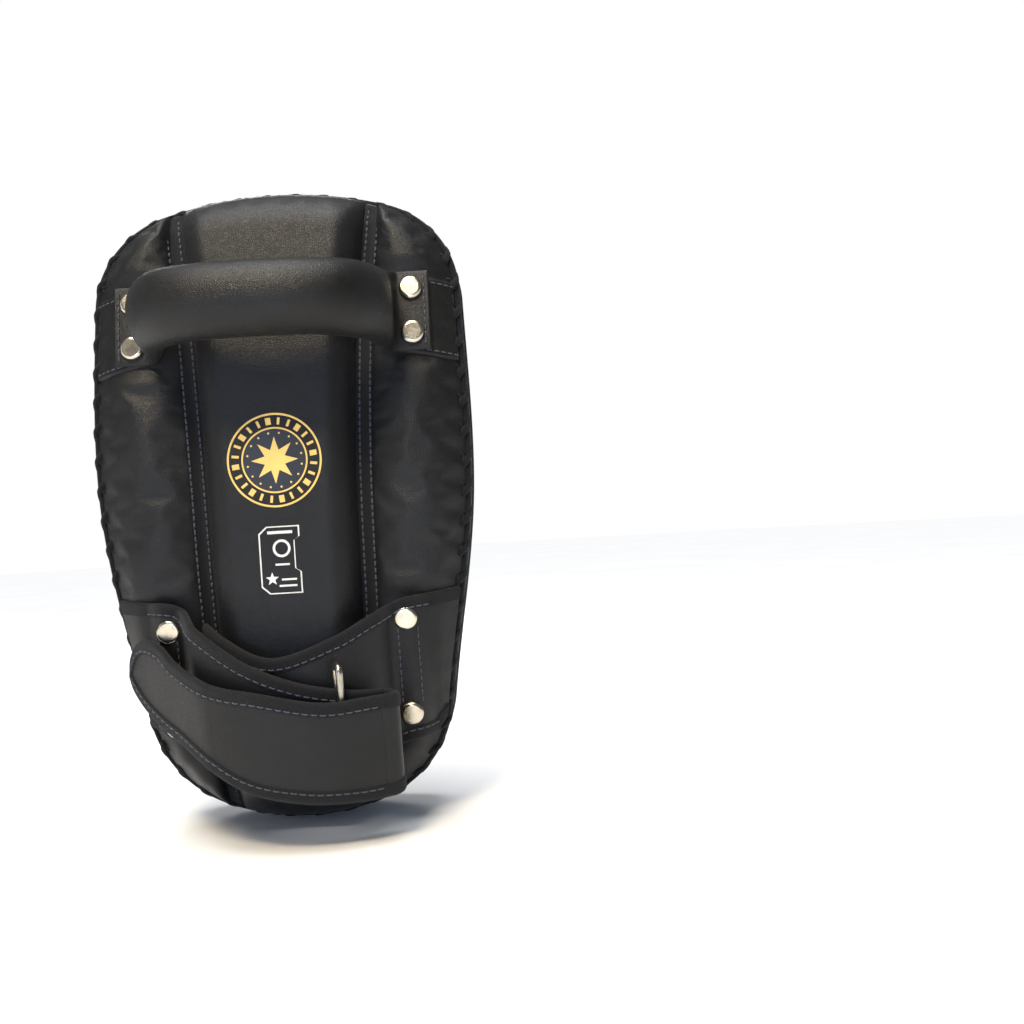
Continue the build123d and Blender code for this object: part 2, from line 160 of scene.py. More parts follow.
def rim_at(turn, inset):
    """x and z at a share of the way round the outline, moved inwards."""
    index = (np.asarray(turn) % 1.0) * len(RIM)
    i = index.astype(int) % len(RIM)
    f = (index - index.astype(int))[..., None]
    point = RIM[i] * (1 - f) + RIM[(i + 1) % len(RIM)] * f
    inward = RIM_IN[i] * (1 - f) + RIM_IN[(i + 1) % len(RIM)] * f
    return point + inward * np.asarray(inset)[..., None]


def rim_ends(x_low, x_high):
    """The outline's z at the bottom end and at the top end, at distances from the middle."""
    half = RIM[: len(RIM) // 2 + 1]
    top, bottom = half[half[:, 1] > 20], half[half[:, 1] < -20][::-1]
    return np.interp(x_low, bottom[:, 0], bottom[:, 1]), np.interp(x_high, top[:, 0], top[:, 1])


def rim_distance(x, z):
    """How far points are inside the outline, and how far round it they are, from 0 to 1."""
    x, z = np.broadcast_arrays(x, z)
    p = np.stack([np.ravel(x), np.ravel(z)], 1)
    far = np.empty(len(p))
    turn = np.empty(len(p))
    for k in range(0, len(p), 2000):
        gap = np.linalg.norm(p[k:k + 2000, None, :] - RIM[None], axis=2)
        far[k:k + 2000] = gap.min(1)
        turn[k:k + 2000] = gap.argmin(1) / len(RIM)
    return far.reshape(np.shape(x)), turn.reshape(np.shape(x))


def pad_point(x, z, level):
    """Points on the bent pad, as x, y, z."""
    x, z, level = np.broadcast_arrays(x, z, level)
    return np.stack([x, np.sqrt((BEND + level) ** 2 - z**2) - BEND, z], -1)


def seam_x(z):
    return np.interp(z, SEAM_LINE[:, 1], SEAM_LINE[:, 0])


def quarter(value, width):
    """A quarter circle's rise from 0 to 1 over a width."""
    t = np.clip(value / width, 0, 1)
    return np.sqrt(1 - (1 - t) ** 2)


def back_level(x, z):
    """The leather's level over the back: a raised centre, a valley for each tape, and puffed sides."""
    far, turn = rim_distance(x, z)
    side_x = np.abs(x)
    seam = seam_x(z)
    centre = 8 + (CENTRE_LEVEL - 8) * quarter(seam - side_x, 17)
    centre = centre - 1.2 * smooth(0, 1, 1 - np.abs(x) / 30) * (1 + 0.4 * np.sin(z / 31))
    room = np.maximum(side_x - seam - TAPE_W + 2, 0)
    share = far / (far + room + 1e-6)
    held = np.maximum(
        smooth(72, 84, z) * (1 - smooth(128, 142, z)),
        smooth(-148, -134, z) * (1 - smooth(-58, -44, z)),
    )
    puff = np.sin(np.pi * np.clip(share, 0, 1)) ** 0.62
    sides = 3 + 5 * share + puff * (12.5 - 3.2 * held)
    sides = sides + puff * 0.7 * np.sin(z / 9.0 + x / 17.0) * np.exp(-(((np.abs(z - 30) - 62) / 26) ** 2))
    level = np.where(side_x < seam, centre, sides)
    level = 2.2 + (level - 2.2) * quarter(far, np.where(side_x < seam, 24, 15))
    scallop = 0.5 + 0.5 * np.cos(2 * np.pi * (turn * PITCHES - 0.45))
    return level - 1.1 * scallop * np.exp(-(((far - 6.5) / 4.0) ** 2))


def on_back(x, z, lift=0.0):
    """Points on the back's leather, lifted off it."""
    return pad_point(x, z, back_level(x, z) + lift)


def cuff_point(x, height, z):
    """Points over the cuff: height is off the lacing's level at the cuff's own middle plane."""
    x, height, z = np.broadcast_arrays(x, height, z)
    cuff_y = math.sqrt(BEND**2 - CUFF_Z**2) - BEND
    sine, cosine = -CUFF_Z / BEND, math.sqrt(1 - (CUFF_Z / BEND) ** 2)
    run = (z - CUFF_Z + sine * height) / cosine
    return np.stack([x, cuff_y + cosine * height + sine * run, z], -1)


def arc_h(radius, x):
    return CUFF_CENTRE[1] + np.sqrt(radius**2 - (np.asarray(x, float) - CUFF_CENTRE[0]) ** 2)


# ---------------------------------------------------------------- mesh helpers
def mesh_object(name, verts, faces, shade=True):
    mesh = bpy.data.meshes.new(name)
    mesh.from_pydata((np.asarray(verts) * MM).tolist(), [], faces)
    mesh.validate()
    if shade:
        mesh.shade_smooth()
    piece = bpy.data.objects.new(name, mesh)
    bpy.context.scene.collection.objects.link(piece)
    return piece


def grid_faces(rows, columns, wrap_rows=False, wrap_columns=False, start=0):
    faces = []
    for r in range(rows if wrap_rows else rows - 1):
        for c in range(columns if wrap_columns else columns - 1):
            r2, c2 = (r + 1) % rows, (c + 1) % columns
            near, far = start + r * columns, start + r2 * columns
            faces.append((near + c, near + c2, far + c2, far + c))
    return faces


def grid_object(name, points, **wrap):
    rows, columns = points.shape[:2]
    return mesh_object(name, points.reshape(-1, 3), grid_faces(rows, columns, **wrap))


def clean(piece, merge=0.00001):
    """Merge doubles and make the normals agree."""
    work = bmesh.new()
    work.from_mesh(piece.data)
    bmesh.ops.remove_doubles(work, verts=work.verts, dist=merge)
    bmesh.ops.dissolve_degenerate(work, edges=work.edges, dist=merge)
    bmesh.ops.recalc_face_normals(work, faces=work.faces)
    work.to_mesh(piece.data)
    work.free()
    piece.data.shade_smooth()
    return piece


def tube(path, half_wide, half_thick, facing, sides=10, closed=False):
    """Verts and faces of a tube: its section is an ellipse, and its thin way lies along facing."""
    path, facing = np.asarray(path, float), np.asarray(facing, float)
    ahead = np.roll(path, -1, 0) - np.roll(path, 1, 0) if closed else np.gradient(path, axis=0)
    ahead /= np.linalg.norm(ahead, axis=1)[:, None] + 1e-9
    thin = facing - ahead * np.sum(ahead * facing, 1)[:, None]
    thin /= np.linalg.norm(thin, axis=1)[:, None] + 1e-9
    wide = np.cross(ahead, thin)
    angle = np.arange(sides) * 2 * np.pi / sides
    half_wide = np.broadcast_to(half_wide, len(path))[:, None, None]
    half_thick = np.broadcast_to(half_thick, len(path))[:, None, None]
    ring = path[:, None] + half_wide * np.cos(angle)[None, :, None] * wide[:, None]
    ring = ring + half_thick * np.sin(angle)[None, :, None] * thin[:, None]
    faces = grid_faces(len(path), sides, wrap_rows=closed, wrap_columns=True)
    if not closed:
        faces.append(tuple(range(sides))[::-1])
        faces.append(tuple((len(path) - 1) * sides + k for k in range(sides)))
    return ring.reshape(-1, 3), faces


def join_parts(name, parts):
    """One piece from several sets of verts and faces."""
    verts, faces, count = [], [], 0
    for part_verts, part_faces in parts:
        verts.append(part_verts)
        faces += [tuple(k + count for k in face) for face in part_faces]
        count += len(part_verts)
    piece = mesh_object(name, np.vstack(verts), faces)
    return clean(piece, 1e-7)


def stitches(path, facing, length=3.0, gap=1.3, radius=0.42, lift=0.25):
    """Thread dashes that dip into the leather along a line."""
    path = np.asarray(path, float)
    run = np.concatenate([[0], np.cumsum(np.linalg.norm(np.diff(path, axis=0), axis=1))])
    parts = []
    for begin in np.arange(gap, run[-1] - length, length + gap):
        at = begin + np.linspace(0, 1, 5) * length
        line = np.stack([np.interp(at, run, path[:, k]) for k in range(3)], 1)
        normal = np.stack([np.interp(at, run, facing[:, k]) for k in range(3)], 1)
        normal /= np.linalg.norm(normal, axis=1)[:, None]
        arch = np.array([-0.45, 0.1, 0.25, 0.1, -0.45])[:, None] + lift
        parts.append(tube(line + normal * arch, radius, radius, normal, sides=6))
    return parts


def outwards(count):
    """The way out of the back, once for each point of a line."""
    return np.repeat([[0.0, 1.0, 0.0]], count, 0)


def with_uv(piece, points):
    """Give a grid's faces a UV map in metres, along its rows and across its columns."""
    rows, columns = points.shape[:2]
    down_steps, over_steps = (np.linalg.norm(np.diff(points, axis=k), axis=2) for k in (0, 1))
    down = np.vstack([np.zeros((1, columns)), np.cumsum(down_steps, axis=0)])
    over = np.hstack([np.zeros((rows, 1)), np.cumsum(over_steps, axis=1)])
    run = np.repeat(down.mean(1)[:, None], columns, 1)
    layer = piece.data.uv_layers.new(name="UVMap")
    for loop in piece.data.loops:
        r, c = divmod(loop.vertex_index, columns)
        if r < rows:
            layer.data[loop.index].uv = (run[r, c] * MM, over[r, c] * MM)
    return piece


class Strap:
    """A leather strap over the cuff: stations give its x and height, and two edges give its z."""

    def __init__(self, path, low, high, hand=0):
        self.x, self.height = np.asarray(path, float)[:, :2].T
        self.reach = np.asarray(path, float)[:, 2]
        self.low, self.high, self.hand = np.asarray(low, float), np.asarray(high, float), hand
        self.count = len(self.x)

    def point(self, station, z):
        """The strap's middle surface at a station and a z."""
        index = np.arange(self.count)
        x = np.interp(station, index, self.x)
        height = np.interp(station, index, self.height)
        place = cuff_point(x, height, z)
        if self.hand:
            reach = np.interp(station, index, self.reach)
            full = x + self.hand * reach * (rim_x(z) - 2.0 - 80)
            weight = smooth(68, 80, np.abs(x))[..., None]
            place = place * (1 - weight) + on_back(full, z, 1.5) * weight
        return place

    def frame(self, station, z):
        """The middle surface with its normal and its direction towards the high edge."""
        place = self.point(station, z)
        ahead = self.point(station + 0.5, z) - self.point(station - 0.5, z)
        across = self.point(station, z + 0.4) - self.point(station, z - 0.4)
        across /= np.linalg.norm(across, axis=-1)[..., None] + 1e-9
        normal = np.cross(ahead, across)
        normal /= np.linalg.norm(normal, axis=-1)[..., None] + 1e-9
        if normal[0, 0, 1] < 0:
            normal = -normal
        return place, normal, across

    def edge(self, which, distance, stations):
        """The z at a distance in from one edge, at some stations."""
        index = np.arange(self.count)
        line = np.interp(stations, index, self.high if which > 0 else self.low)
        base = self.point(stations, line)
        run = np.linalg.norm(np.gradient(base, axis=0), axis=1) + 1e-6
        slope = np.clip(np.gradient(line) / run, -2.5, 2.5)
        room = np.interp(stations, index, self.high - self.low)
        return line - which * np.minimum(np.asarray(distance) * np.sqrt(1 + slope**2), room * 0.49)


def rim_x(z):
    half = RIM[: len(RIM) // 2 + 1]
    order = np.argsort(half[:, 1])
    return np.interp(z, half[order, 1], half[order, 0])


def strap_body(name, strap, across=26, thickness=SHEET, first=0, last=None, ends=True):
    """A thick leather sheet with rounded long edges."""
    last = strap.count - 1 if last is None else last
    stations = np.arange(first, last + 1, dtype=float)
    low, high = strap.edge(-1, thickness / 2, stations), strap.edge(1, thickness / 2, stations)
    share = np.linspace(0, 1, across)
    z = low[:, None] * (1 - share) + high[:, None] * share
    place, normal, over = strap.frame(np.repeat(stations[:, None], across, 1), z)
    half = thickness / 2
    rows = [place + normal * half]
    for angle in (30, 60, 90, 120, 150):
        a = math.radians(angle)
        rows.append((place + normal * half * math.cos(a) + over * half * math.sin(a))[:, -1:])
    rows.append((place - normal * half)[:, ::-1])
    for angle in (150, 120, 90, 60, 30):
        a = math.radians(angle)
        rows.append((place + normal * half * math.cos(a) - over * half * math.sin(a))[:, :1])
    ring = np.concatenate(rows, axis=1)
    count, sides = ring.shape[:2]
    faces = grid_faces(count, sides, wrap_columns=True)
    if ends:
        faces.append(tuple(range(sides))[::-1])
        faces.append(tuple((count - 1) * sides + k for k in range(sides)))
    return clean(mesh_object(name, ring.reshape(-1, 3), faces))


def strap_binding(name, strap, which, first=0, last=None, width=7.0, thickness=SHEET):
    """Woven tape folded over one long edge of a strap, with its verts in a grid for the weave."""
    last = strap.count - 1 if last is None else last
    stations = np.linspace(first, last, int(last - first) + 1)
    half = thickness / 2 + 0.75
    section = [(width + 0.3, thickness / 2 - 0.3), (width, half - 0.25), (width - 0.7, half)]
    section += [(d, half) for d in (4.6, 3.2, 2.2)]
    rows = []
    for distance, lift in section:
        z = strap.edge(which, distance, stations)
        place, normal, over = strap.frame(stations[:, None], z[:, None])
        rows.append(place + normal * lift)
    z = strap.edge(which, thickness / 2, stations)
    place, normal, over = strap.frame(stations[:, None], z[:, None])
    for angle in (15, 45, 75, 105, 135, 165):
        a = math.radians(angle)
        rows.append(place + (normal * math.cos(a) + which * over * math.sin(a)) * half)
    for distance, lift in section[::-1]:
        z = strap.edge(which, distance, stations)
        place, normal, over = strap.frame(stations[:, None], z[:, None])
        rows.append(place - normal * lift)
    points = np.concatenate(rows, axis=1)
    piece = grid_object(name, points)
    with_uv(piece, points)
    return piece


def strap_line(strap, which, distance, first=0, last=None, lift=None):
    """A line of points and normals at a distance in from one edge, on the outer side."""
    last = strap.count - 1 if last is None else last
    stations = np.arange(first, last + 0.5, 1.0)
    z = strap.edge(which, distance, stations)
    place, normal, over = strap.frame(stations[:, None], z[:, None])
    lift = SHEET / 2 + 0.75 if lift is None else lift
    return (place + normal * lift)[:, 0], normal[:, 0]


# ---------------------------------------------------------------- materials
def new_material(name):
    material = bpy.data.materials.new(name)
    material.use_nodes = True
    tree = material.node_tree
    return material, tree, tree.nodes["Principled BSDF"]


def node(tree, kind, **values):
    made = tree.nodes.new(kind)
    for key, value in values.items():
        if hasattr(made, key):
            setattr(made, key, value)
        else:
            made.inputs[key.replace("_", " ")].default_value = value
    return made


def ramp(tree, source, low, high, low_at=0.0, high_at=1.0):
    """A colour ramp between two grey values or colours."""
    made = tree.nodes.new("ShaderNodeValToRGB")
    colour = lambda value: (*value, 1) if isinstance(value, tuple) else (value, value, value, 1)
    made.color_ramp.elements[0].position, made.color_ramp.elements[0].color = low_at, colour(low)
    made.color_ramp.elements[1].position, made.color_ramp.elements[1].color = high_at, colour(high)
    tree.links.new(source, made.inputs["Fac"])
    return made.outputs["Color"]


def mixed(tree, factor, a, b, blend="MIX"):
    made = tree.nodes.new("ShaderNodeMix")
    made.data_type, made.blend_type = "RGBA", blend
    for value, socket in ((factor, made.inputs[0]), (a, made.inputs[6]), (b, made.inputs[7])):
        if isinstance(value, (int, float)):
            socket.default_value = value if socket.type == "VALUE" else (value, value, value, 1)
        elif isinstance(value, tuple):
            socket.default_value = (*value, 1)
        else:
            tree.links.new(value, socket)
    return made.outputs[2]


def maths(tree, operation, a, b=0.0):
    made = tree.nodes.new("ShaderNodeMath")
    made.operation = operation
    for value, socket in ((a, made.inputs[0]), (b, made.inputs[1])):
        if isinstance(value, (int, float)):
            socket.default_value = value
        else:
            tree.links.new(value, socket)
    return made.outputs[0]


def bumps(tree, shader, layers):
    """Stack height layers, each with its depth in metres."""
    last = None
    for height, depth in layers:
        made = tree.nodes.new("ShaderNodeBump")
        made.inputs["Distance"].default_value = depth
        made.inputs["Strength"].default_value = 1.0
        tree.links.new(height, made.inputs["Height"])
        if last:
            tree.links.new(last, made.inputs["Normal"])
        last = made.outputs["Normal"]
    tree.links.new(last, shader.inputs["Normal"])


def noise(tree, place, scale, detail=4.0, rough=0.55, stretch=None):
    if stretch:
        mapping = tree.nodes.new("ShaderNodeMapping")
        mapping.inputs["Scale"].default_value = stretch
        tree.links.new(place, mapping.inputs["Vector"])
        place = mapping.outputs["Vector"]
    made = node(tree, "ShaderNodeTexNoise", Scale=scale, Detail=detail, Roughness=rough)
    tree.links.new(place, made.inputs["Vector"])
    return made.outputs["Fac"]


def cells(tree, place, scale, feature="DISTANCE_TO_EDGE"):
    made = node(tree, "ShaderNodeTexVoronoi", feature=feature, Scale=scale)
    tree.links.new(place, made.inputs["Vector"])
    return made.outputs["Distance"]


def leather(name, colour=(0.0060, 0.0062, 0.0072), rough=(0.36, 0.47), grain=950, crease=0.00009, scuff=0.5):
    """Smooth coated leather: fine pebbled grain, a few soft creases, and rubbed patches."""
    material, tree, shader = new_material(name)
    place = tree.nodes.new("ShaderNodeTexCoord").outputs["Object"]
    cloud = noise(tree, place, 14, 5, 0.6)
    fine = noise(tree, place, 210, 6, 0.65)
    speck = noise(tree, place, 1500, 2, 0.5)
    dark, light = tuple(0.75 * c for c in colour), tuple(1.55 * c for c in colour)
    base = mixed(tree, ramp(tree, cloud, 0.0, 1.0, 0.32, 0.7), dark, light)
    rubbed = ramp(tree, maths(tree, "MULTIPLY", cloud, fine), 0.0, scuff, 0.33, 0.5)
    base = mixed(tree, rubbed, base, (0.016, 0.016, 0.018))
    tree.links.new(base, shader.inputs["Base Color"])
    rougher = maths(tree, "ADD", maths(tree, "MULTIPLY", fine, 0.5), maths(tree, "MULTIPLY", speck, 0.5))
    tree.links.new(ramp(tree, rougher, rough[0], rough[1], 0.35, 0.65), shader.inputs["Roughness"])
    shader.inputs["Specular IOR Level"].default_value = 0.27
    shader.inputs["Sheen Weight"].default_value = 0.02
    shader.inputs["Sheen Roughness"].default_value = 0.5
    pores = ramp(tree, cells(tree, place, grain), 0.0, 1.0, 0.0, 0.28)
    folds = noise(tree, place, 34, 3, 0.5, (1.0, 1.0, 1.7))
    bumps(tree, shader, [(folds, crease * 4), (fine, crease), (pores, 0.00008), (speck, 0.00006)])
    return material


def woven(name, colour=(0.0062, 0.0062, 0.0075), along=620.0, rib=330.0, tilt=0.75):
    """Woven tape: slanted ribs crossed by fine threads, laid out along its UV map."""
    material, tree, shader = new_material(name)
    place = tree.nodes.new("ShaderNodeTexCoord").outputs["UV"]
    where = tree.nodes.new("ShaderNodeMapping")
    where.inputs["Rotation"].default_value = (0, 0, tilt)
    tree.links.new(place, where.inputs["Vector"])
    ribs = node(tree, "ShaderNodeTexWave", wave_type="BANDS", bands_direction="X",
                Scale=rib, Distortion=0.8, Detail=1.0)
    ribs.inputs["Detail Scale"].default_value = 300
    tree.links.new(where.outputs["Vector"], ribs.inputs["Vector"])
    cross = node(tree, "ShaderNodeTexWave", wave_type="BANDS", bands_direction="Y",
                 Scale=along, Distortion=0.6, Detail=1.0)
    tree.links.new(where.outputs["Vector"], cross.inputs["Vector"])
    solid = tree.nodes.new("ShaderNodeTexCoord").outputs["Object"]
    lint = noise(tree, solid, 900, 3, 0.6)
    crossing = maths(tree, "ADD", maths(tree, "MULTIPLY", cross.outputs["Fac"], 0.5), 0.5)
    weave = maths(tree, "MULTIPLY", ribs.outputs["Fac"], crossing)
    light = tuple(3.2 * c for c in colour)
    base = mixed(tree, weave, tuple(0.5 * c for c in colour), light)
    base = mixed(tree, ramp(tree, lint, 0.0, 0.45, 0.5, 0.8), base, (0.03, 0.03, 0.036))
    tree.links.new(base, shader.inputs["Base Color"])
    tree.links.new(ramp(tree, lint, 0.62, 0.9, 0.3, 0.7), shader.inputs["Roughness"])
    shader.inputs["Sheen Weight"].default_value = 0.08
    shader.inputs["Sheen Roughness"].default_value = 0.4
    shader.inputs["Specular IOR Level"].default_value = 0.2
    bumps(tree, shader, [(weave, 0.00035), (lint, 0.00008)])
    return material


def thread(name, colour):
    """Twisted sewing thread or lacing cord."""
    material, tree, shader = new_material(name)
    place = tree.nodes.new("ShaderNodeTexCoord").outputs["Object"]
    twist = node(tree, "ShaderNodeTexWave", wave_type="BANDS", bands_direction="DIAGONAL",
                 Scale=420, Distortion=1.5, Detail=2.0)
    tree.links.new(place, twist.inputs["Vector"])
    fuzz = noise(tree, place, 1200, 3, 0.6)
    base = mixed(tree, twist.outputs["Fac"], tuple(0.55 * c for c in colour), tuple(1.4 * c for c in colour))
    tree.links.new(base, shader.inputs["Base Color"])
    tree.links.new(ramp(tree, fuzz, 0.5, 0.8, 0.3, 0.7), shader.inputs["Roughness"])
    shader.inputs["Sheen Weight"].default_value = 0.06
    bumps(tree, shader, [(twist.outputs["Fac"], 0.0003), (fuzz, 0.0001)])
    return material


def metal(name, colour, rough=(0.16, 0.34)):
    """Plated metal with small dents, fine scratches and duller patches."""
    material, tree, shader = new_material(name)
    place = tree.nodes.new("ShaderNodeTexCoord").outputs["Object"]
    cloud = noise(tree, place, 120, 5, 0.6)
    scratch = noise(tree, place, 700, 4, 0.7, (1.0, 1.0, 9.0))
    dull = ramp(tree, cloud, 0.0, 1.0, 0.35, 0.75)
    tree.links.new(mixed(tree, dull, colour, tuple(0.62 * c for c in colour)), shader.inputs["Base Color"])
    shader.inputs["Metallic"].default_value = 1.0
    both = maths(tree, "ADD", maths(tree, "MULTIPLY", cloud, 0.6), maths(tree, "MULTIPLY", scratch, 0.4))
    tree.links.new(ramp(tree, both, rough[0], rough[1], 0.35, 0.65), shader.inputs["Roughness"])
    bumps(tree, shader, [(cloud, 0.00012), (scratch, 0.00002)])
    return material


def ink(name, colour, rough=0.5, worn=0.35):
    """Printed ink with thin, rubbed spots over the leather's grain."""
    material, tree, shader = new_material(name)
    place = tree.nodes.new("ShaderNodeTexCoord").outputs["Object"]
    rub = noise(tree, place, 420, 5, 0.7)
    cloud = noise(tree, place, 60, 3, 0.5)
    base = mixed(tree, ramp(tree, cloud, 0.0, 1.0, 0.35, 0.65), tuple(0.86 * c for c in colour), colour)
    base = mixed(tree, ramp(tree, rub, 0.0, worn, 0.56, 0.8), base, tuple(0.3 * c for c in colour))
    tree.links.new(base, shader.inputs["Base Color"])
    tree.links.new(ramp(tree, rub, rough - 0.08, rough + 0.12, 0.3, 0.7), shader.inputs["Roughness"])
    pores = ramp(tree, cells(tree, place, 950), 0.0, 1.0, 0.0, 0.28)
    bumps(tree, shader, [(pores, 0.00004), (rub, 0.00004)])
    return material


def fuzz_tape(name, colour, scale, depth):
    """Hook or loop fastener: a field of small stalks."""
    material, tree, shader = new_material(name)
    place = tree.nodes.new("ShaderNodeTexCoord").outputs["Object"]
    stalks = cells(tree, place, scale, "F1")
    lint = noise(tree, place, 500, 4, 0.6)
    base = mixed(tree, stalks, tuple(2.4 * c for c in colour), tuple(0.5 * c for c in colour))
    tree.links.new(base, shader.inputs["Base Color"])
    tree.links.new(ramp(tree, lint, 0.7, 0.95, 0.3, 0.7), shader.inputs["Roughness"])
    shader.inputs["Sheen Weight"].default_value = 0.4
    bumps(tree, shader, [(stalks, -depth), (lint, depth / 3)])
    return material


PAD_LEATHER = leather("pad_leather_black")
HANDLE_LEATHER = leather("handle_leather_black", (0.0062, 0.0060, 0.0060), (0.33, 0.44), 1000, 0.00006, 0.35)
STRAP_LEATHER = leather("strap_leather_black", (0.0060, 0.0061, 0.0068), (0.37, 0.47), 900, 0.00005, 0.4)
BAND_LEATHER = leather("band_leather_black", (0.0055, 0.0055, 0.0062), (0.58, 0.72))
BAND_LEATHER.node_tree.nodes["Principled BSDF"].inputs["Specular IOR Level"].default_value = 0.12
PIPING_LEATHER = leather("piping_black", (0.006, 0.006, 0.0068), (0.38, 0.5), 1100, 0.00005, 0.6)
WEBBING = woven("webbing_black")
LACE = thread("lacing_cord_black", (0.006, 0.006, 0.0078))
LACE.node_tree.nodes["Principled BSDF"].inputs["Specular IOR Level"].default_value = 0.12
THREAD = thread("thread_slate", (0.060, 0.068, 0.095))
THREAD_DARK = thread("thread_black", (0.022, 0.023, 0.028))
NICKEL = metal("rivet_nickel", (0.66, 0.60, 0.48), (0.14, 0.3))
STEEL = metal("ring_steel", (0.48, 0.45, 0.39), (0.2, 0.38))
GOLD_INK = ink("print_gold", (0.78, 0.52, 0.14))
WHITE_INK = ink("print_white", (0.78, 0.78, 0.76))
DARK_INK = ink("print_midnight", (0.006, 0.008, 0.016), 0.42, 0.2)
HOOKS = fuzz_tape("fastener_hooks", (0.012, 0.012, 0.013), 700, 0.0004)
LOOPS = fuzz_tape("fastener_loops", (0.014, 0.014, 0.016), 420, 0.0003)


def finish(piece, material, body="pad", ride=True):
    """Give a piece its material and slot, and the body that it rides."""
    piece.data.materials.clear()
    piece.data.materials.append(material)
    if ride:
        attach(piece, body)
    return piece


# ---------------------------------------------------------------- camera
camera_data = bpy.data.cameras.new("camera")
camera = bpy.data.objects.new("camera", camera_data)
bpy.context.scene.collection.objects.link(camera)
bpy.context.scene.camera = camera
camera_data.lens = 39.2
camera_data.sensor_width = 36
look, up = Vector((0, -1, 0)), Vector((-0.0593, 0, 0.998)).normalized()
right = look.cross(up)
turned_to = Matrix((right, up, -look)).transposed().to_4x4()
camera.matrix_world = Matrix.Translation((-0.1307, 0.650, -0.0119)) @ turned_to


# ---------------------------------------------------------------- body of the pad
def centre_points(rows=170, columns=61):
    """The raised centre of the back, from rim to rim between the two seams."""
    share = np.linspace(-1, 1, columns)
    x_low, x_high = share * seam_x(-183), share * seam_x(180)
    z_low, z_high = rim_ends(np.abs(x_low), np.abs(x_high))
    t = np.linspace(0, 1, rows)
    t = 0.5 - 0.5 * np.cos(np.pi * t) * (0.6 + 0.4 * np.abs(np.cos(np.pi * t)))
    z = z_low + (z_high - z_low) * t[:, None]
    x = share * seam_x(z)
    return on_back(x, z)


def swell(piece, pinned, free, pressure=4.0, slack=0.007, cap=2.6):
    """Fill a pinned leather skin by cloth simulation, and keep the part of the move that free allows."""
    scene, mesh = bpy.context.scene, piece.data
    rest = np.empty(len(mesh.vertices) * 3)
    mesh.vertices.foreach_get("co", rest)
    group = piece.vertex_groups.new(name="pinned")
    for index, weight in enumerate(pinned):
        group.add([index], float(weight), "REPLACE")
    cloth = piece.modifiers.new("fill", "CLOTH")
    cloth.settings.quality = 5
    cloth.settings.mass = 0.15
    cloth.settings.tension_stiffness = cloth.settings.compression_stiffness = 25
    cloth.settings.shear_stiffness = 12
    cloth.settings.bending_stiffness = 12
    cloth.settings.use_pressure = True
    cloth.settings.uniform_pressure_force = pressure
    cloth.settings.shrink_min = -slack
    cloth.settings.vertex_group_mass = "pinned"
    cloth.settings.effector_weights.gravity = 0
    cloth.collision_settings.use_self_collision = False
    cloth.point_cache.frame_start, cloth.point_cache.frame_end = 1, 20
    for step_number in range(1, 21):
        scene.frame_set(step_number)
    filled_mesh = piece.evaluated_get(bpy.context.evaluated_depsgraph_get()).to_mesh()
    moved = np.empty(len(rest))
    filled_mesh.vertices.foreach_get("co", moved)
    piece.modifiers.remove(cloth)
    piece.vertex_groups.clear()
    scene.frame_set(1)
    move = (moved - rest).reshape(-1, 3)
    size = np.linalg.norm(move, axis=1)[:, None] + 1e-9
    move *= np.minimum(1, cap * MM / size) * np.asarray(free)[:, None]
    mesh.vertices.foreach_set("co", rest + move.ravel())
    mesh.update()


def side_points(hand, rows=240, columns=44):
    """A puffed side of the back, from its seam out to the rim."""
    half = RIM[: len(RIM) // 2 + 1]
    outside = half[half[:, 0] > seam_x(half[:, 1])]
    rim = resample(outside, rows)
    z_seam = np.linspace(rim[0, 1], rim[-1, 1], rows)
    seam = np.stack([seam_x(z_seam), z_seam], 1)
    t = np.linspace(0, 1, columns)[None, :, None]
    flat = seam[:, None] * (1 - t) + rim[:, None] * t
    return on_back(hand * flat[..., 0], flat[..., 1])


centre = grid_object("centre_panel", centre_points())
clean(centre)
finish(centre, PAD_LEATHER)
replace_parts(centre, "back_panel_centre", "forearm_cushion")

for hand, word in ((1, "left"), (-1, "right")):
    panel = clean(grid_object(f"side_panel_{word}", side_points(hand)))
    spots = np.array([v.co for v in panel.data.vertices]) / MM
    far, turn = rim_distance(np.abs(spots[:, 0]), spots[:, 2])
    from_seam = np.abs(spots[:, 0]) - seam_x(spots[:, 2])
    held = 1 - smooth(3, 6, far) * smooth(TAPE_W - 1, TAPE_W + 2, from_seam)
    below_handle = (1 - smooth(66, 76, spots[:, 2])) * smooth(-56, -44, spots[:, 2])
    open_zone = below_handle + smooth(133, 142, spots[:, 2])
    swell(panel, held, open_zone * (1 - held))
    finish(panel, PAD_LEATHER)
    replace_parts(panel, f"back_panel_{word}", f"side_cushion_{word}")


def face_level(x, z):
    """The striking face's level: flat in the middle and rolled over at its rim."""
    far, turn = rim_distance(x, z)
    level = FACE_SEAM + (FACE - FACE_SEAM) * quarter(far, 17)
    return level - 1.6 * smooth(10, 60, far) + 1.4 * np.exp(-(((far - 2.2) / 1.6) ** 2))


def on_face(x, z, lift=0.0):
    return pad_point(x, z, face_level(x, z) - lift)


def disc_points(rings, spokes, inset=0.0):
    """Rings that shrink from the outline to the middle, finer near the rim."""
    turn = np.arange(spokes) / spokes
    edge = rim_at(turn, np.full(spokes, inset))
    share = (np.linspace(0, 1, rings) ** 1.7)[:, None, None]
    middle = np.stack([np.zeros(spokes), edge[:, 1] * 0.35], 1)
    return edge[None] * (1 - share) + middle[None] * share


flat = disc_points(60, 360, 0.4)
face = grid_object("striking_face", on_face(flat[..., 0], flat[..., 1]), wrap_columns=True)
clean(face)
finish(face, PAD_LEATHER)
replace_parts(face, "face_panel", "foam_front")

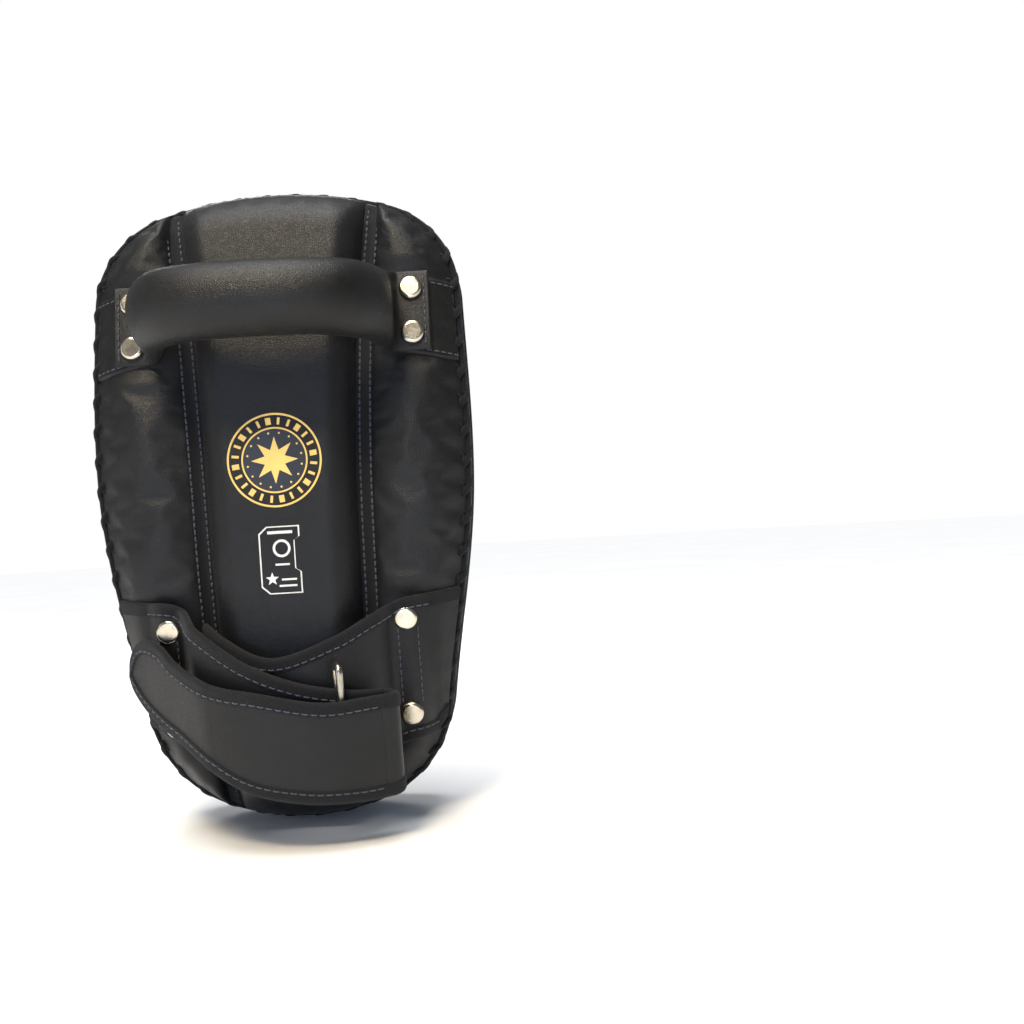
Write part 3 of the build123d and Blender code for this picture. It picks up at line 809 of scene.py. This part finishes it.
turn = np.arange(720) / 720
levels = np.array([FACE_SEAM + 2.0, -33, -29, -24, -19, -14, -10, -7, -4.5, -2.5])
bulge = 0.9 * np.sin(np.pi * (levels - levels[0]) / (levels[-1] - levels[0]))
dent = 0.25 * np.sin(2 * np.pi * turn * PITCHES)[:, None] * np.exp(-(((levels + 3.5) / 3.0) ** 2))
wall = np.stack([
    pad_point(*rim_at(turn, -b - 0.1 + dent[:, k]).T, level) for k, (b, level) in enumerate(zip(bulge, levels))
], 1)
band = grid_object("side_band_cover", wall, wrap_rows=True)
clean(band)
finish(band, BAND_LEATHER)
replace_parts(band, "side_band", "foam_middle", "foam_back")


def around(level, inset, count=720):
    """A closed line round the pad, with its outward direction."""
    turns = np.arange(count) / count
    flat = rim_at(turns, np.full(count, inset))
    out = rim_at(turns, np.full(count, inset - 1.0)) - flat
    return pad_point(flat[:, 0], flat[:, 1], level), np.stack([out[:, 0], 0 * out[:, 0], out[:, 1]], 1)


line, outward = around(FACE_SEAM + 1.0, 0.2)
piping = join_parts("face_edge_piping", [tube(line, 1.9, 1.9, outward, 12, closed=True)])
finish(piping, PIPING_LEATHER)
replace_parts(piping, "face_piping")
seam_line, seam_out = around(FACE_SEAM + 3.9, -0.6)
finish(join_parts("side_band_stitches", stitches(seam_line, seam_out, 3.2, 1.4, 0.3)), THREAD_DARK)


# ---------------------------------------------------------------- lacing round the back rim
def lacing(name, count=PITCHES, each=26):
    """One cord that whips round the rim, from a hole in the back to a hole in the side band."""
    steps = np.arange(count * each) / each
    share = steps % 1.0
    phase = np.radians(np.interp(share, [0, LACE_SEEN, 1], [100, -100, -260]))
    turns = (steps - np.where(share < LACE_SEEN, 0, (share - LACE_SEEN) * 0.4)) / count
    wobble = 0.35 * np.sin(steps * 2.399) + 0.25 * np.sin(steps * 5.1)
    inset = 2.7 - 3.7 * np.cos(phase) + 0.25 * wobble
    level = 0.6 + (5.3 + 0.4 * wobble) * np.sin(phase)
    flat = rim_at(turns, inset)
    path = pad_point(flat[:, 0], flat[:, 1], level)
    middle = rim_at(turns, np.full(len(turns), 2.2))
    out = path - pad_point(middle[:, 0], middle[:, 1], 0.4)
    return join_parts(name, [tube(path, 2.0, 1.1, out, 8, closed=True)])


lace = lacing("rim_lacing")
finish(lace, LACE)
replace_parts(lace, "edge_lacing")
welt_line, welt_out = around(0.6, 0.9)
welt = join_parts("rim_welt", [tube(welt_line, 3.7, 2.5, welt_out, 10, closed=True)])
finish(welt, LACE)

eyelets = []
for k in range(PITCHES):
    for level, inset in ((5.2, 4.6), (-5.2, -0.1)):
        spot = rim_at((k + 0.25) / PITCHES if level > 0 else (k + 0.75) / PITCHES, inset)
        hole = pad_point(spot[0], spot[1], level)
        behind = pad_point(*rim_at((k + 0.75) / PITCHES, 4.0), level)
        normal = np.array([0.0, 1.0, 0.0]) if level > 0 else hole - behind
        side = np.cross(normal, [0.3, 0.2, 0.9])
        side /= np.linalg.norm(side)
        normal = normal / np.linalg.norm(normal)
        other = np.cross(normal, side)
        a = np.arange(10)[:, None] * 2 * np.pi / 10
        loop = hole + normal * 0.2 + 1.9 * (np.cos(a) * side + np.sin(a) * other)
        eyelets.append(tube(loop, 0.45, 0.45, np.repeat(normal[None], 10, 0), 6, closed=True))
finish(join_parts("lacing_eyelets", eyelets), PIPING_LEATHER)


# ---------------------------------------------------------------- seam tapes
for hand, word in ((1, "left"), (-1, "right")):
    over = np.array([-1.2, -0.4, 0.5, 2.1, 3.9, 4.5, 5.1, 6.9, 8.5, 9.2, 9.8])[None]
    lift = np.array([-0.2, 0.9, 1.3, 1.4, 1.4, 1.1, 1.4, 1.4, 1.3, 0.9, -0.3])[None]
    z_bottom, z_top = rim_ends(seam_x(-172) + over, seam_x(172) + over)
    z_bottom, z_top = z_bottom + TAPE_END_GAP, z_top - TAPE_END_GAP
    z = z_bottom + (z_top - z_bottom) * np.linspace(0, 1, 330)[:, None]
    x = seam_x(z) + over
    inner = back_level(hand * (seam_x(z) + 4.5), z)
    level = np.minimum(np.where(over < 0, inner, back_level(hand * x, z)), inner + 2.6)
    points = pad_point(hand * x, z, level + lift)
    tape = grid_object(f"seam_ribbon_{word}", points)
    with_uv(tape, points)
    finish(tape, WEBBING)
    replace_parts(tape, f"seam_tape_{word}")
    rows = []
    for column in (3, 8):
        line = points[3:-3, column]
        rows += stitches(line, outwards(len(line)), 2.4, 1.6, 0.5, 0.2)
    finish(join_parts(f"seam_stitches_{word}", rows), THREAD)


# ---------------------------------------------------------------- handle and its patches
def patch_grid(corners, hand, rows=40, columns=52):
    """x and z over a patch between four corners, kept inside the rim."""
    a, b, c, d = (np.asarray(p, float) for p in corners)
    t = np.linspace(0, 1, rows)[:, None, None]
    s = np.linspace(0, 1, columns)[None, :, None]
    flat = (a * (1 - t) + b * t) * (1 - s) + (d * (1 - t) + c * t) * s
    return hand * np.minimum(flat[..., 0], rim_x(flat[..., 1]) - 2.2), flat[..., 1]


def patch_piece(name, corners, hand, lift):
    """A leather patch with its edges turned down on to the cushion."""
    x, z = patch_grid(corners, hand)
    edge = np.ones(x.shape)
    edge[0], edge[-1], edge[:, 0], edge[:, -1] = 0, 0, 0, 0
    inner = edge.copy()
    inner[1], inner[-2] = np.minimum(inner[1], 0.75), np.minimum(inner[-2], 0.75)
    points = on_back(x, z, lift * inner - 0.6 * (1 - edge))
    return clean(grid_object(name, points)), points


for hand, word in ((1, "left"), (-1, "right")):
    corners = [(67.5, 84), (67.5, 131), (112, 124), (112, 76)]
    patch, points = patch_piece(f"handle_base_{word}", corners, hand, 1.9)
    finish(patch, HANDLE_LEATHER)
    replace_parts(patch, f"handle_patch_{word}")
    rows = []
    for row in (3, -4):
        line = points[row, 2:-2]
        rows += stitches(line, outwards(len(line)), 3.0, 1.3, 0.36, 0.15)
    finish(join_parts(f"handle_base_stitches_{word}", rows), THREAD)


def handle_surface(station, angle):
    """The stuffed grip: a level arch whose ends flatten on to the two patches."""
    control = np.array([
        (0, 71.6), (15, 71.0), (28, 69.0), (40, 64.8), (49.5, 58.0), (56, 49.8), (60, 41.0), (62.6, 32.0),
        (65.3, 24.0), (69.0, 17.2), (73.4, 13.0), (80.0, 11.4), (90.5, 11.0),
    ])
    full = np.vstack([control[:0:-1] * [-1, 1], control])
    path = resample(spline(full, 1200), 400)
    index = np.linspace(0, 1, 400)
    x, y = (np.interp(station, index, path[:, k]) for k in (0, 1))
    grow = (np.gradient(path, axis=0))
    dx, dy = (np.interp(station, index, grow[:, k]) for k in (0, 1))
    length = np.hypot(dx, dy)
    out = np.stack([-dy / length, dx / length], -1)
    side_x = np.abs(x)
    tall = 19.9 + 0.9 * smooth(30, 56, side_x) + 2.4 * smooth(57, 72, side_x)
    thick = 15.6 - 1.6 * smooth(40, 57, side_x) - 7.0 * smooth(56, 67, side_x) - 5.4 * smooth(64, 73, side_x)
    square = 1.0 - 0.45 * smooth(58, 72, side_x)
    up = np.sign(np.sin(angle)) * np.abs(np.sin(angle)) ** square
    outwards = np.sign(np.cos(angle)) * np.abs(np.cos(angle)) ** (1.0 - 0.5 * smooth(60, 72, side_x))
    crinkle = 0.35 * np.sin(x / 3.1) * np.exp(-(((side_x - 60) / 9) ** 2)) * np.clip(-outwards, 0, 1)
    rise = tall * up
    away = thick * outwards + crinkle
    free = np.stack([x + out[..., 0] * away, y + out[..., 1] * away, HANDLE_Z + rise], -1)
    laid = pad_point(x, HANDLE_Z + rise, TAB_LEVEL) + np.stack([0 * away, away, 0 * away], -1)
    weight = smooth(62, 73, side_x)[..., None]
    return free * (1 - weight) + laid * weight


stations = np.linspace(0, 1, 260)
angles = np.arange(56) * 2 * np.pi / 56
points = handle_surface(stations[:, None] + 0 * angles, angles[None] + 0 * stations[:, None])
faces = grid_faces(260, 56, wrap_columns=True)
faces += [tuple(range(56))[::-1], tuple(259 * 56 + k for k in range(56))]
grip = clean(mesh_object("handle_grip_cover", points.reshape(-1, 3), faces))
finish(grip, HANDLE_LEATHER, ride=False)
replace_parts(grip, "handle_core", "handle_cover", "handle_tab_left", "handle_tab_right")
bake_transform(grip)

rows = []
for hand in (1, -1):
    line = pad_point(hand * TAB_STITCH_X, np.linspace(86, 128, 40), TAB_LEVEL + 2.0)
    rows += stitches(line, outwards(len(line)), 2.8, 1.3, 0.36, 0.05)
finish(join_parts("handle_tab_stitches", rows), THREAD)


# ---------------------------------------------------------------- cuff
def station_path(controls, count):
    return resample(spline(controls, 1500), count)


def arc_stations(radius, x_from, x_to, step=6.0):
    x = np.linspace(x_from, x_to, max(3, int(abs(x_to - x_from) / step)))
    return [(v, float(arc_h(radius, v)), 0.0) for v in x]


TONGUE_TOP = [
    (-116, -52), (-98, -53.5), (-80, -55.5), (-64, -57.5), (-46, -66), (-28, -75), (4, -84), (30, -73),
    (48, -60),
]
TONGUE_BOTTOM = [
    (-116, -127), (-98, -131), (-80, -136), (-62, -140), (-30, -154), (-4, -158), (20, -152),
    (48, -136),
]
STRAP_TOP = [
    (116, -49), (98, -50.5), (80, -52), (62, -54), (45, -66), (18, -84), (-9, -96), (-36, -103),
    (-55, -105), (-72, -106),
]
STRAP_BOTTOM = [
    (116, -122), (98, -125), (80, -128), (62, -130), (45, -133), (18, -144), (-9, -153), (-36, -157),
    (-55, -158), (-72, -159),
]
FLAP_TOP = [
    (-72, -106), (-48, -106.5), (-24, -107), (8, -100), (34, -95), (56, -85), (67, -75.5), (77, -72),
    (85, -74), (90.5, -82), (92.5, -93),
]
FLAP_BOTTOM = [
    (-72, -161), (-54, -162), (-36, -162), (-10, -159.5), (22, -151), (56, -129), (70, -121),
    (82, -112), (90, -102), (92.5, -93.5),
]

base = lambda hand: [(hand * 80.0, 20.2, share) for share in (1.0, 0.75, 0.5, 0.25)]
tongue_path = station_path(
    base(-1)
    + [(-80, 20.2, 0), (-73, 20.7, 0), (-66, 20.8, 0), (-60.5, 20.8, 0), (-56.8, 23.0, 0), (-53.8, 28.2, 0)]
    + arc_stations(TONGUE_R, -50.5, 43), 190)
tongue_edge_x = tongue_path[:, 0] - tongue_path[:, 2] * 22
tongue = Strap(tongue_path, along(TONGUE_BOTTOM, tongue_edge_x), along(TONGUE_TOP, tongue_edge_x), -1)

strap_controls = base(1) + [
    (80, 20.2, 0), (73, 20.7, 0), (66, 20.8, 0), (60.8, 20.8, 0), (57.3, 23.4, 0), (54.4, 29.5, 0),
    (51.4, 36.0, 0),
] + arc_stations(STRAP_R, 47.5, -54)
fold_controls = [(-54, float(arc_h(STRAP_R, -54)), 0), (-57.8, 45.6, 0), (-60.6, 47.8, 0), (-61.8, 50.6, 0),
                 (-60.9, 53.4, 0), (-58.0, 55.6, 0), (-54, float(arc_h(FLAP_R, -54)), 0)]
flap_controls = arc_stations(FLAP_R, -54, 40) + [
    (50, 52.6, 0), (60, 43.8, 0), (70, 35.0, 0), (80, 25.9, 0), (92.3, 14.8, 0),
]
strap_path = station_path(strap_controls, 210)
fold_path = station_path([strap_controls[-2]] + fold_controls + [flap_controls[1]], 60)
flap_path = station_path(flap_controls, 230)

edge_x = strap_path[:, 0] + strap_path[:, 2] * 22
strap = Strap(strap_path, along(STRAP_BOTTOM, edge_x), along(STRAP_TOP, edge_x), 1)
flap = Strap(flap_path, along(FLAP_BOTTOM, flap_path[:, 0]), along(FLAP_TOP, flap_path[:, 0]))
turned = smooth(44.3, 57.0, fold_path[:, 1])
fold = Strap(
    fold_path,
    along(STRAP_BOTTOM, fold_path[:, 0]) * (1 - turned) + along(FLAP_BOTTOM, fold_path[:, 0]) * turned,
    along(STRAP_TOP, fold_path[:, 0]) * (1 - turned) + along(FLAP_TOP, fold_path[:, 0]) * turned,
)
past_start = fold_path[:, 0] < -53.6
FOLD_ENDS = (int(np.argmax(past_start)), int(len(fold_path) - 1 - np.argmax(past_start[::-1])))


def bound(strap_shape, name, body, first=0, last=None, ends=True, stitch=True):
    """One strap: its leather, the tape over each long edge, and the stitches in the tape."""
    made = []
    leather_piece = strap_body(f"{name}_leather", strap_shape, first=first, last=last, ends=ends)
    finish(leather_piece, STRAP_LEATHER, body, ride=body != "fold")
    made.append(leather_piece)
    for which, word in ((1, "top"), (-1, "bottom")):
        tape = strap_binding(f"{name}_tape_{word}", strap_shape, which, first, last)
        finish(tape, WEBBING, body, ride=body != "fold")
        made.append(tape)
        if stitch:
            final = (last or strap_shape.count - 1) - 2
            path, normals = strap_line(strap_shape, which, 5.4, first + 2, final)
            sewn = join_parts(f"{name}_stitches_{word}", stitches(path, normals, 3.2, 1.5, 0.42, 0.15))
            finish(sewn, THREAD, body, ride=body != "fold")
            made.append(sewn)
    return made


tongue_pieces = bound(tongue, "tongue_strap", "pad")
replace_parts(tongue_pieces[0], "tongue", "strap_base_right")
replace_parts(tongue_pieces[1], "tongue_binding")
strap_pieces = bound(strap, "under_strap", "pad")
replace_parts(strap_pieces[0], "strap_inner", "strap_base_left")
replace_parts(strap_pieces[1], "strap_inner_binding")
flap_pieces = bound(flap, "flap_strap", "flap")
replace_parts(flap_pieces[0], "strap_flap")
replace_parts(flap_pieces[1], "strap_flap_binding")
for piece in bound(fold, "fold_strap", "fold", *FOLD_ENDS, ends=False, stitch=False):
    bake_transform(piece)

# Stitched tab that holds the ring on the tongue, and the rows sewn beside the rivets
ring_x = np.linspace(-56, -22, 40)[:, None]
tab_top = along([(-62, -107), (-40, -109.5), (-20, -112)], ring_x)
tab_bottom = along([(-62, -133), (-40, -139), (-20, -145)], ring_x)
share = np.linspace(0, 1, 30)[None]
tab_z = tab_bottom * (1 - share) + tab_top * share
hump = np.exp(-(((ring_x + 30) / 3.4) ** 2)) * 3.9
end_drop = np.minimum(1, np.minimum(ring_x + 56, -22 - ring_x) / 1.2)
rim_drop = np.minimum(1, np.minimum(share, 1 - share) * 18) * end_drop
tab_height = arc_h(TONGUE_R, ring_x) + (SHEET / 2 + 0.2 + (1.3 + hump) * rim_drop)
tab = grid_object("ring_holder", cuff_point(ring_x, tab_height, tab_z))
finish(clean(tab), STRAP_LEATHER)
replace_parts(tab, "ring_tab")
rows = []
for low_edge in (0.14, 0.86):
    z = tab_bottom[:, 0] * (1 - low_edge) + tab_top[:, 0] * low_edge
    line = cuff_point(ring_x[:, 0], arc_h(TONGUE_R, ring_x[:, 0]) + SHEET / 2 + 1.7 + hump[:, 0], z)
    rows += stitches(line[2:-2], outwards(36), 2.6, 1.4, 0.36, 0.0)
finish(join_parts("ring_holder_stitches", rows), THREAD)

tape_x = np.linspace(-6, 39, 60)[:, None]
tape_top = along([(-8, -111), (16, -108), (40, -100)], tape_x)
tape_bottom = along([(-8, -147), (16, -141), (40, -126)], tape_x)
share = np.linspace(0, 1, 40)[None]
tape_z = tape_bottom + (tape_top - tape_bottom) * share
end_drop = np.minimum(1, np.minimum(tape_x + 6, 39 - tape_x))
rim_drop = np.minimum(1, np.minimum(share, 1 - share) * 22) * end_drop
tape_height = arc_h(STRAP_R, tape_x) + SHEET / 2 + 0.1 + 0.9 * rim_drop
loops = grid_object("fastener_loop_tape", cuff_point(tape_x, tape_height, tape_z))
finish(clean(loops), LOOPS)
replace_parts(loops, "loop_tape")

rows = []
for base_strap, hand in ((tongue, -1), (strap, 1)):
    across_x = hand * (base_strap.x + hand * base_strap.reach * 20)
    for x_row in (62.5, 72.5):
        station = float(np.interp(x_row, across_x[:90][::-1], np.arange(90)[::-1]))
        z = np.linspace(-66 - 6, -119, 60)
        place, normal, over = base_strap.frame(np.full((60, 1), station), z[:, None])
        rows += stitches((place + normal * SHEET / 2)[:, 0], normal[:, 0], 2.8, 1.3, 0.36, 0.1)
finish(join_parts("cuff_base_stitches", rows), THREAD)


# ---------------------------------------------------------------- printed marks
def loop_band(outer, inner, steps=2):
    """A band between two loops of the same count, as rows of x and z."""
    outer, inner = np.asarray(outer, float), np.asarray(inner, float)
    share = np.linspace(0, 1, steps + 1)[:, None, None]
    return outer[None] * (1 - share) + inner[None] * share


def mark(name, bands, surface, lift, material):
    """Thin printed shapes on a surface."""
    verts, faces, count = [], [], 0
    for rows in bands:
        verts.append(surface(rows[..., 0].ravel(), rows[..., 1].ravel(), lift))
        faces += grid_faces(rows.shape[0], rows.shape[1], wrap_columns=True, start=count)
        count += rows.shape[0] * rows.shape[1]
    piece = mesh_object(name, np.vstack(verts), faces)
    clean(piece, 1e-7)
    return finish(piece, material)


def circle(x, z, radius, count=96):
    a = np.arange(count) * 2 * np.pi / count
    return np.stack([x + radius * np.sin(a), z + radius * np.cos(a)], 1)


def star(x, z, outer, inner, points=5, per_edge=4):
    a = np.arange(points * 2) * np.pi / points
    r = np.where(np.arange(points * 2) % 2 == 0, outer, inner)
    corners = np.stack([x + r * np.sin(a), z + r * np.cos(a)], 1)
    return dense(corners, per_edge)


def dense(corners, per_edge):
    """A closed outline with extra points along each edge."""
    corners = np.asarray(corners, float)
    share = np.arange(per_edge)[None, :, None] / per_edge
    nxt = np.roll(corners, -1, 0)
    return (corners[:, None] * (1 - share) + nxt[:, None] * share).reshape(-1, 2)


def filled(loop, steps=6):
    centre_point = loop.mean(0)
    return loop_band(loop, centre_point + (loop - centre_point) * 0.001, steps)


def stamp(name, surface, z, radius):
    """A round mark: a dark disc, gold rings, and an eight-pointed star among small dots."""
    mark(f"{name}_ground", [filled(circle(0, z, radius * 0.66), 8)], surface, 0.12, DARK_INK)
    bands = [loop_band(circle(0, z, radius), circle(0, z, radius * 0.958), 1)]
    bands += [loop_band(circle(0, z, radius * 0.70), circle(0, z, radius * 0.665), 1)]
    bands += [filled(star(0, z, radius * 0.50, radius * 0.23, 8), 6)]
    for k in range(16):
        a = 2 * math.pi * (k + 0.5) / 16
        dot = circle(radius * 0.58 * math.sin(a), z + radius * 0.58 * math.cos(a), radius * 0.022, 10)
        bands.append(filled(dot, 1))
    for k in range(24):
        a = 2 * math.pi * (k + 0.5) / 24
        middle = np.array([radius * 0.83 * math.sin(a), radius * 0.83 * math.cos(a)])
        tall, wide = 0.075 * radius, 0.028 * radius * (1 + (k % 3 == 0))
        out = middle / np.linalg.norm(middle)
        side = np.array([out[1], -out[0]])
        corners = [middle + out * tall * i + side * wide * j for i, j in ((1, -1), (1, 1), (-1, 1), (-1, -1))]
        bands.append(filled(dense(np.array(corners) + [0, z], 2), 1))
    return mark(name, bands, surface, 0.25, GOLD_INK)


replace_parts(stamp("back_emblem", on_back, 25, 26.5), "back_stamp")
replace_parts(stamp("face_emblem", on_face, -137, 25.5), "face_stamp")

label = [(-11.5, -50), (-11.5, -38), (-8.5, -36), (-8.5, -20), (-11.5, -18), (-11.5, -12),
         (7, -12), (11.5, -16), (11.5, -46), (7, -50)]
outer_loop = dense(label, 6)
label_middle = np.array([0.0, -31.0])
bars = [loop_band(outer_loop, label_middle + (outer_loop - label_middle) * np.array([0.93, 0.965]), 1)]
LABEL_BARS = ((-15.5, -7.5, 6.5, 0.8), (-33.5, -5, 3, 0.55), (-42, -8.5, 0, 0.55), (-45.5, -8.5, 1.5, 0.55))
for z_bar, x_from, x_to, tall in LABEL_BARS:
    low_z, high_z = z_bar - tall, z_bar + tall
    bars.append(filled(dense([(x_from, low_z), (x_from, high_z), (x_to, high_z), (x_to, low_z)], 3), 2))
bars.append(loop_band(circle(-1, -24.5, 5.0, 40), circle(-1, -24.5, 3.6, 40), 1))
bars.append(filled(star(5.2, -41.5, 3.8, 1.6, 5, 3), 3))
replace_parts(mark("size_mark", bars, on_back, 0.25, WHITE_INK), "size_label")


def arch(x, lift):
    """The crest's rows rise in the middle."""
    return lift + 9.0 * (1 - (np.asarray(x) / 66.0) ** 2)


def chevron_loop(x, half, low, shoulder, peak, notch):
    """A chevron that points up: two feet at low, shoulders, a peak, and a notch between the feet."""
    left, right = x - half, x + half
    corners = [(left, low), (left, shoulder), (x, peak), (right, shoulder), (right, low), (x, notch)]
    return bent(dense(corners, 8))


def bent(points):
    p = np.asarray(points, float)
    return np.stack([p[:, 0], arch(p[:, 0], p[:, 1])], 1)


crest = dense([(-69, 70), (-50, 58), (50, 58), (69, 70), (62, 132), (30, 143), (-30, 143), (-62, 132)], 14)
crest_middle = np.array([0.0, 100.0])
mark("crest_ground", [filled(crest_middle + (crest - crest_middle) * 0.97, 14)], on_face, 0.30, DARK_INK)
gold, white = [], []
for k in range(-2, 3):
    x0 = k * 23.0
    edge_outer = chevron_loop(x0, 10.5, 68, 90, 112, 88)
    white.append(loop_band(edge_outer, chevron_loop(x0, 8.8, 72, 89.6, 108, 91.6), 1))
    body_loop = chevron_loop(x0, 8.2, 73.6, 89.4, 106.6, 92.6)
    mid = chevron_loop(x0, 4.2, 82.0, 89.8, 98.6, 94.6)
    gold.append(loop_band(body_loop, mid, 3))
    gold.append(filled(bent(dense([(x0 - 3.4, 73), (x0, 79), (x0 + 3.4, 73), (x0, 67)], 4)), 2))
for k in range(-7, 8):
    if abs(k) == 7:
        gold.append(filled(bent(star(k * 7.4, 119, 3.2, 1.4, 5, 2)), 2))
    else:
        x0 = k * 7.4
        leaning = [(x0 - 2.2, 117.2), (x0 - 1.6, 120.8), (x0 + 2.6, 120.8), (x0 + 2.0, 117.2)]
        white.append(filled(bent(dense(leaning, 3)), 2))
for k in range(-5, 6):
    x0 = k * 6.6
    white.append(filled(dense([(x0 - 2.1, 62.5), (x0 - 2.1, 69.0), (x0 + 2.1, 69.0), (x0 + 2.1, 62.5)], 3), 2))
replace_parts(mark("crest_gold", gold, on_face, 0.55, GOLD_INK), "face_crest")
mark("crest_white", white, on_face, 0.5, WHITE_INK)


# ---------------------------------------------------------------- carried-over CAD nodes
for node_name, material in (
    ("rivets", NICKEL), ("rivet_washers", NICKEL), ("ring", STEEL), ("hook_tape", HOOKS),
):
    carried = bpy.data.objects[node_name]
    carried.data.materials.clear()
    carried.data.materials.append(material)


# ---------------------------------------------------------------- floor, world and lights
def floor_material():
    material, tree, shader = new_material("studio_floor")
    place = tree.nodes.new("ShaderNodeTexCoord").outputs["Object"]
    cloud = noise(tree, place, 6, 3, 0.5)
    tree.links.new(ramp(tree, cloud, 0.88, 0.93, 0.2, 0.8), shader.inputs["Base Color"])
    shader.inputs["Roughness"].default_value = 0.85
    return material


FLOOR_RADIUS = 6000
floor_level = cad_box[0][2] / MM - 0.6
a = np.arange(64) * 2 * np.pi / 64
disc = np.stack([FLOOR_RADIUS * np.cos(a), FLOOR_RADIUS * np.sin(a), np.full(64, floor_level)], 1)
floor = mesh_object("floor", disc, [tuple(range(64))], shade=False)
floor.data.materials.append(floor_material())

world = bpy.data.worlds.new("studio")
bpy.context.scene.world = world
world.use_nodes = True
sky = world.node_tree
rays = sky.nodes.new("ShaderNodeLightPath")
dim, pale = sky.nodes["Background"], sky.nodes.new("ShaderNodeBackground")
dim.inputs["Color"].default_value, dim.inputs["Strength"].default_value = (0.86, 0.92, 1.0, 1), 0.16
pale.inputs["Color"].default_value, pale.inputs["Strength"].default_value = (1.0, 1.0, 1.0, 1), 1.0
either = sky.nodes.new("ShaderNodeMixShader")
sky.links.new(rays.outputs["Is Camera Ray"], either.inputs[0])
sky.links.new(dim.outputs[0], either.inputs[1])
sky.links.new(pale.outputs[0], either.inputs[2])
sky.links.new(either.outputs[0], sky.nodes["World Output"].inputs["Surface"])
bpy.context.scene.view_settings.view_transform = "Standard"


def softbox(name, place, aim, size, power, colour):
    data = bpy.data.lights.new(name, "AREA")
    data.shape, data.size, data.size_y = "RECTANGLE", size[0], size[1]
    data.energy, data.color = power, colour
    lamp = bpy.data.objects.new(name, data)
    bpy.context.scene.collection.objects.link(lamp)
    lamp.location = place
    lamp.rotation_euler = (Vector(aim) - Vector(place)).to_track_quat("-Z", "Y").to_euler()


softbox("key_warm", (0.16, 0.80, 0.86), (0, 0, 0.13), (0.34, 0.24), 13, (1.0, 0.86, 0.64))
softbox("window_cool", (0.16, 1.75, 0.0), (0, 0, 0), (0.34, 0.62), 9, (0.50, 0.68, 1.0))
softbox("side_left", (1.3, 0.7, 0.3), (0, 0, 0), (0.4, 0.9), 2, (0.9, 0.94, 1.0))
softbox("face_top", (0.30, -1.25, 0.65), (0, 0, 0), (0.7, 0.5), 7, (1.0, 0.98, 0.95))
softbox("face_cool", (-0.35, -1.5, 0.0), (0, 0, 0), (0.5, 0.8), 4, (0.60, 0.74, 1.0))
sun_data = bpy.data.lights.new("ceiling", "SUN")
sun_data.energy, sun_data.angle = 3.1, math.radians(40)
sun = bpy.data.objects.new("ceiling", sun_data)
bpy.context.scene.collection.objects.link(sun)
sun.rotation_euler = (math.radians(-6), math.radians(4), 0)
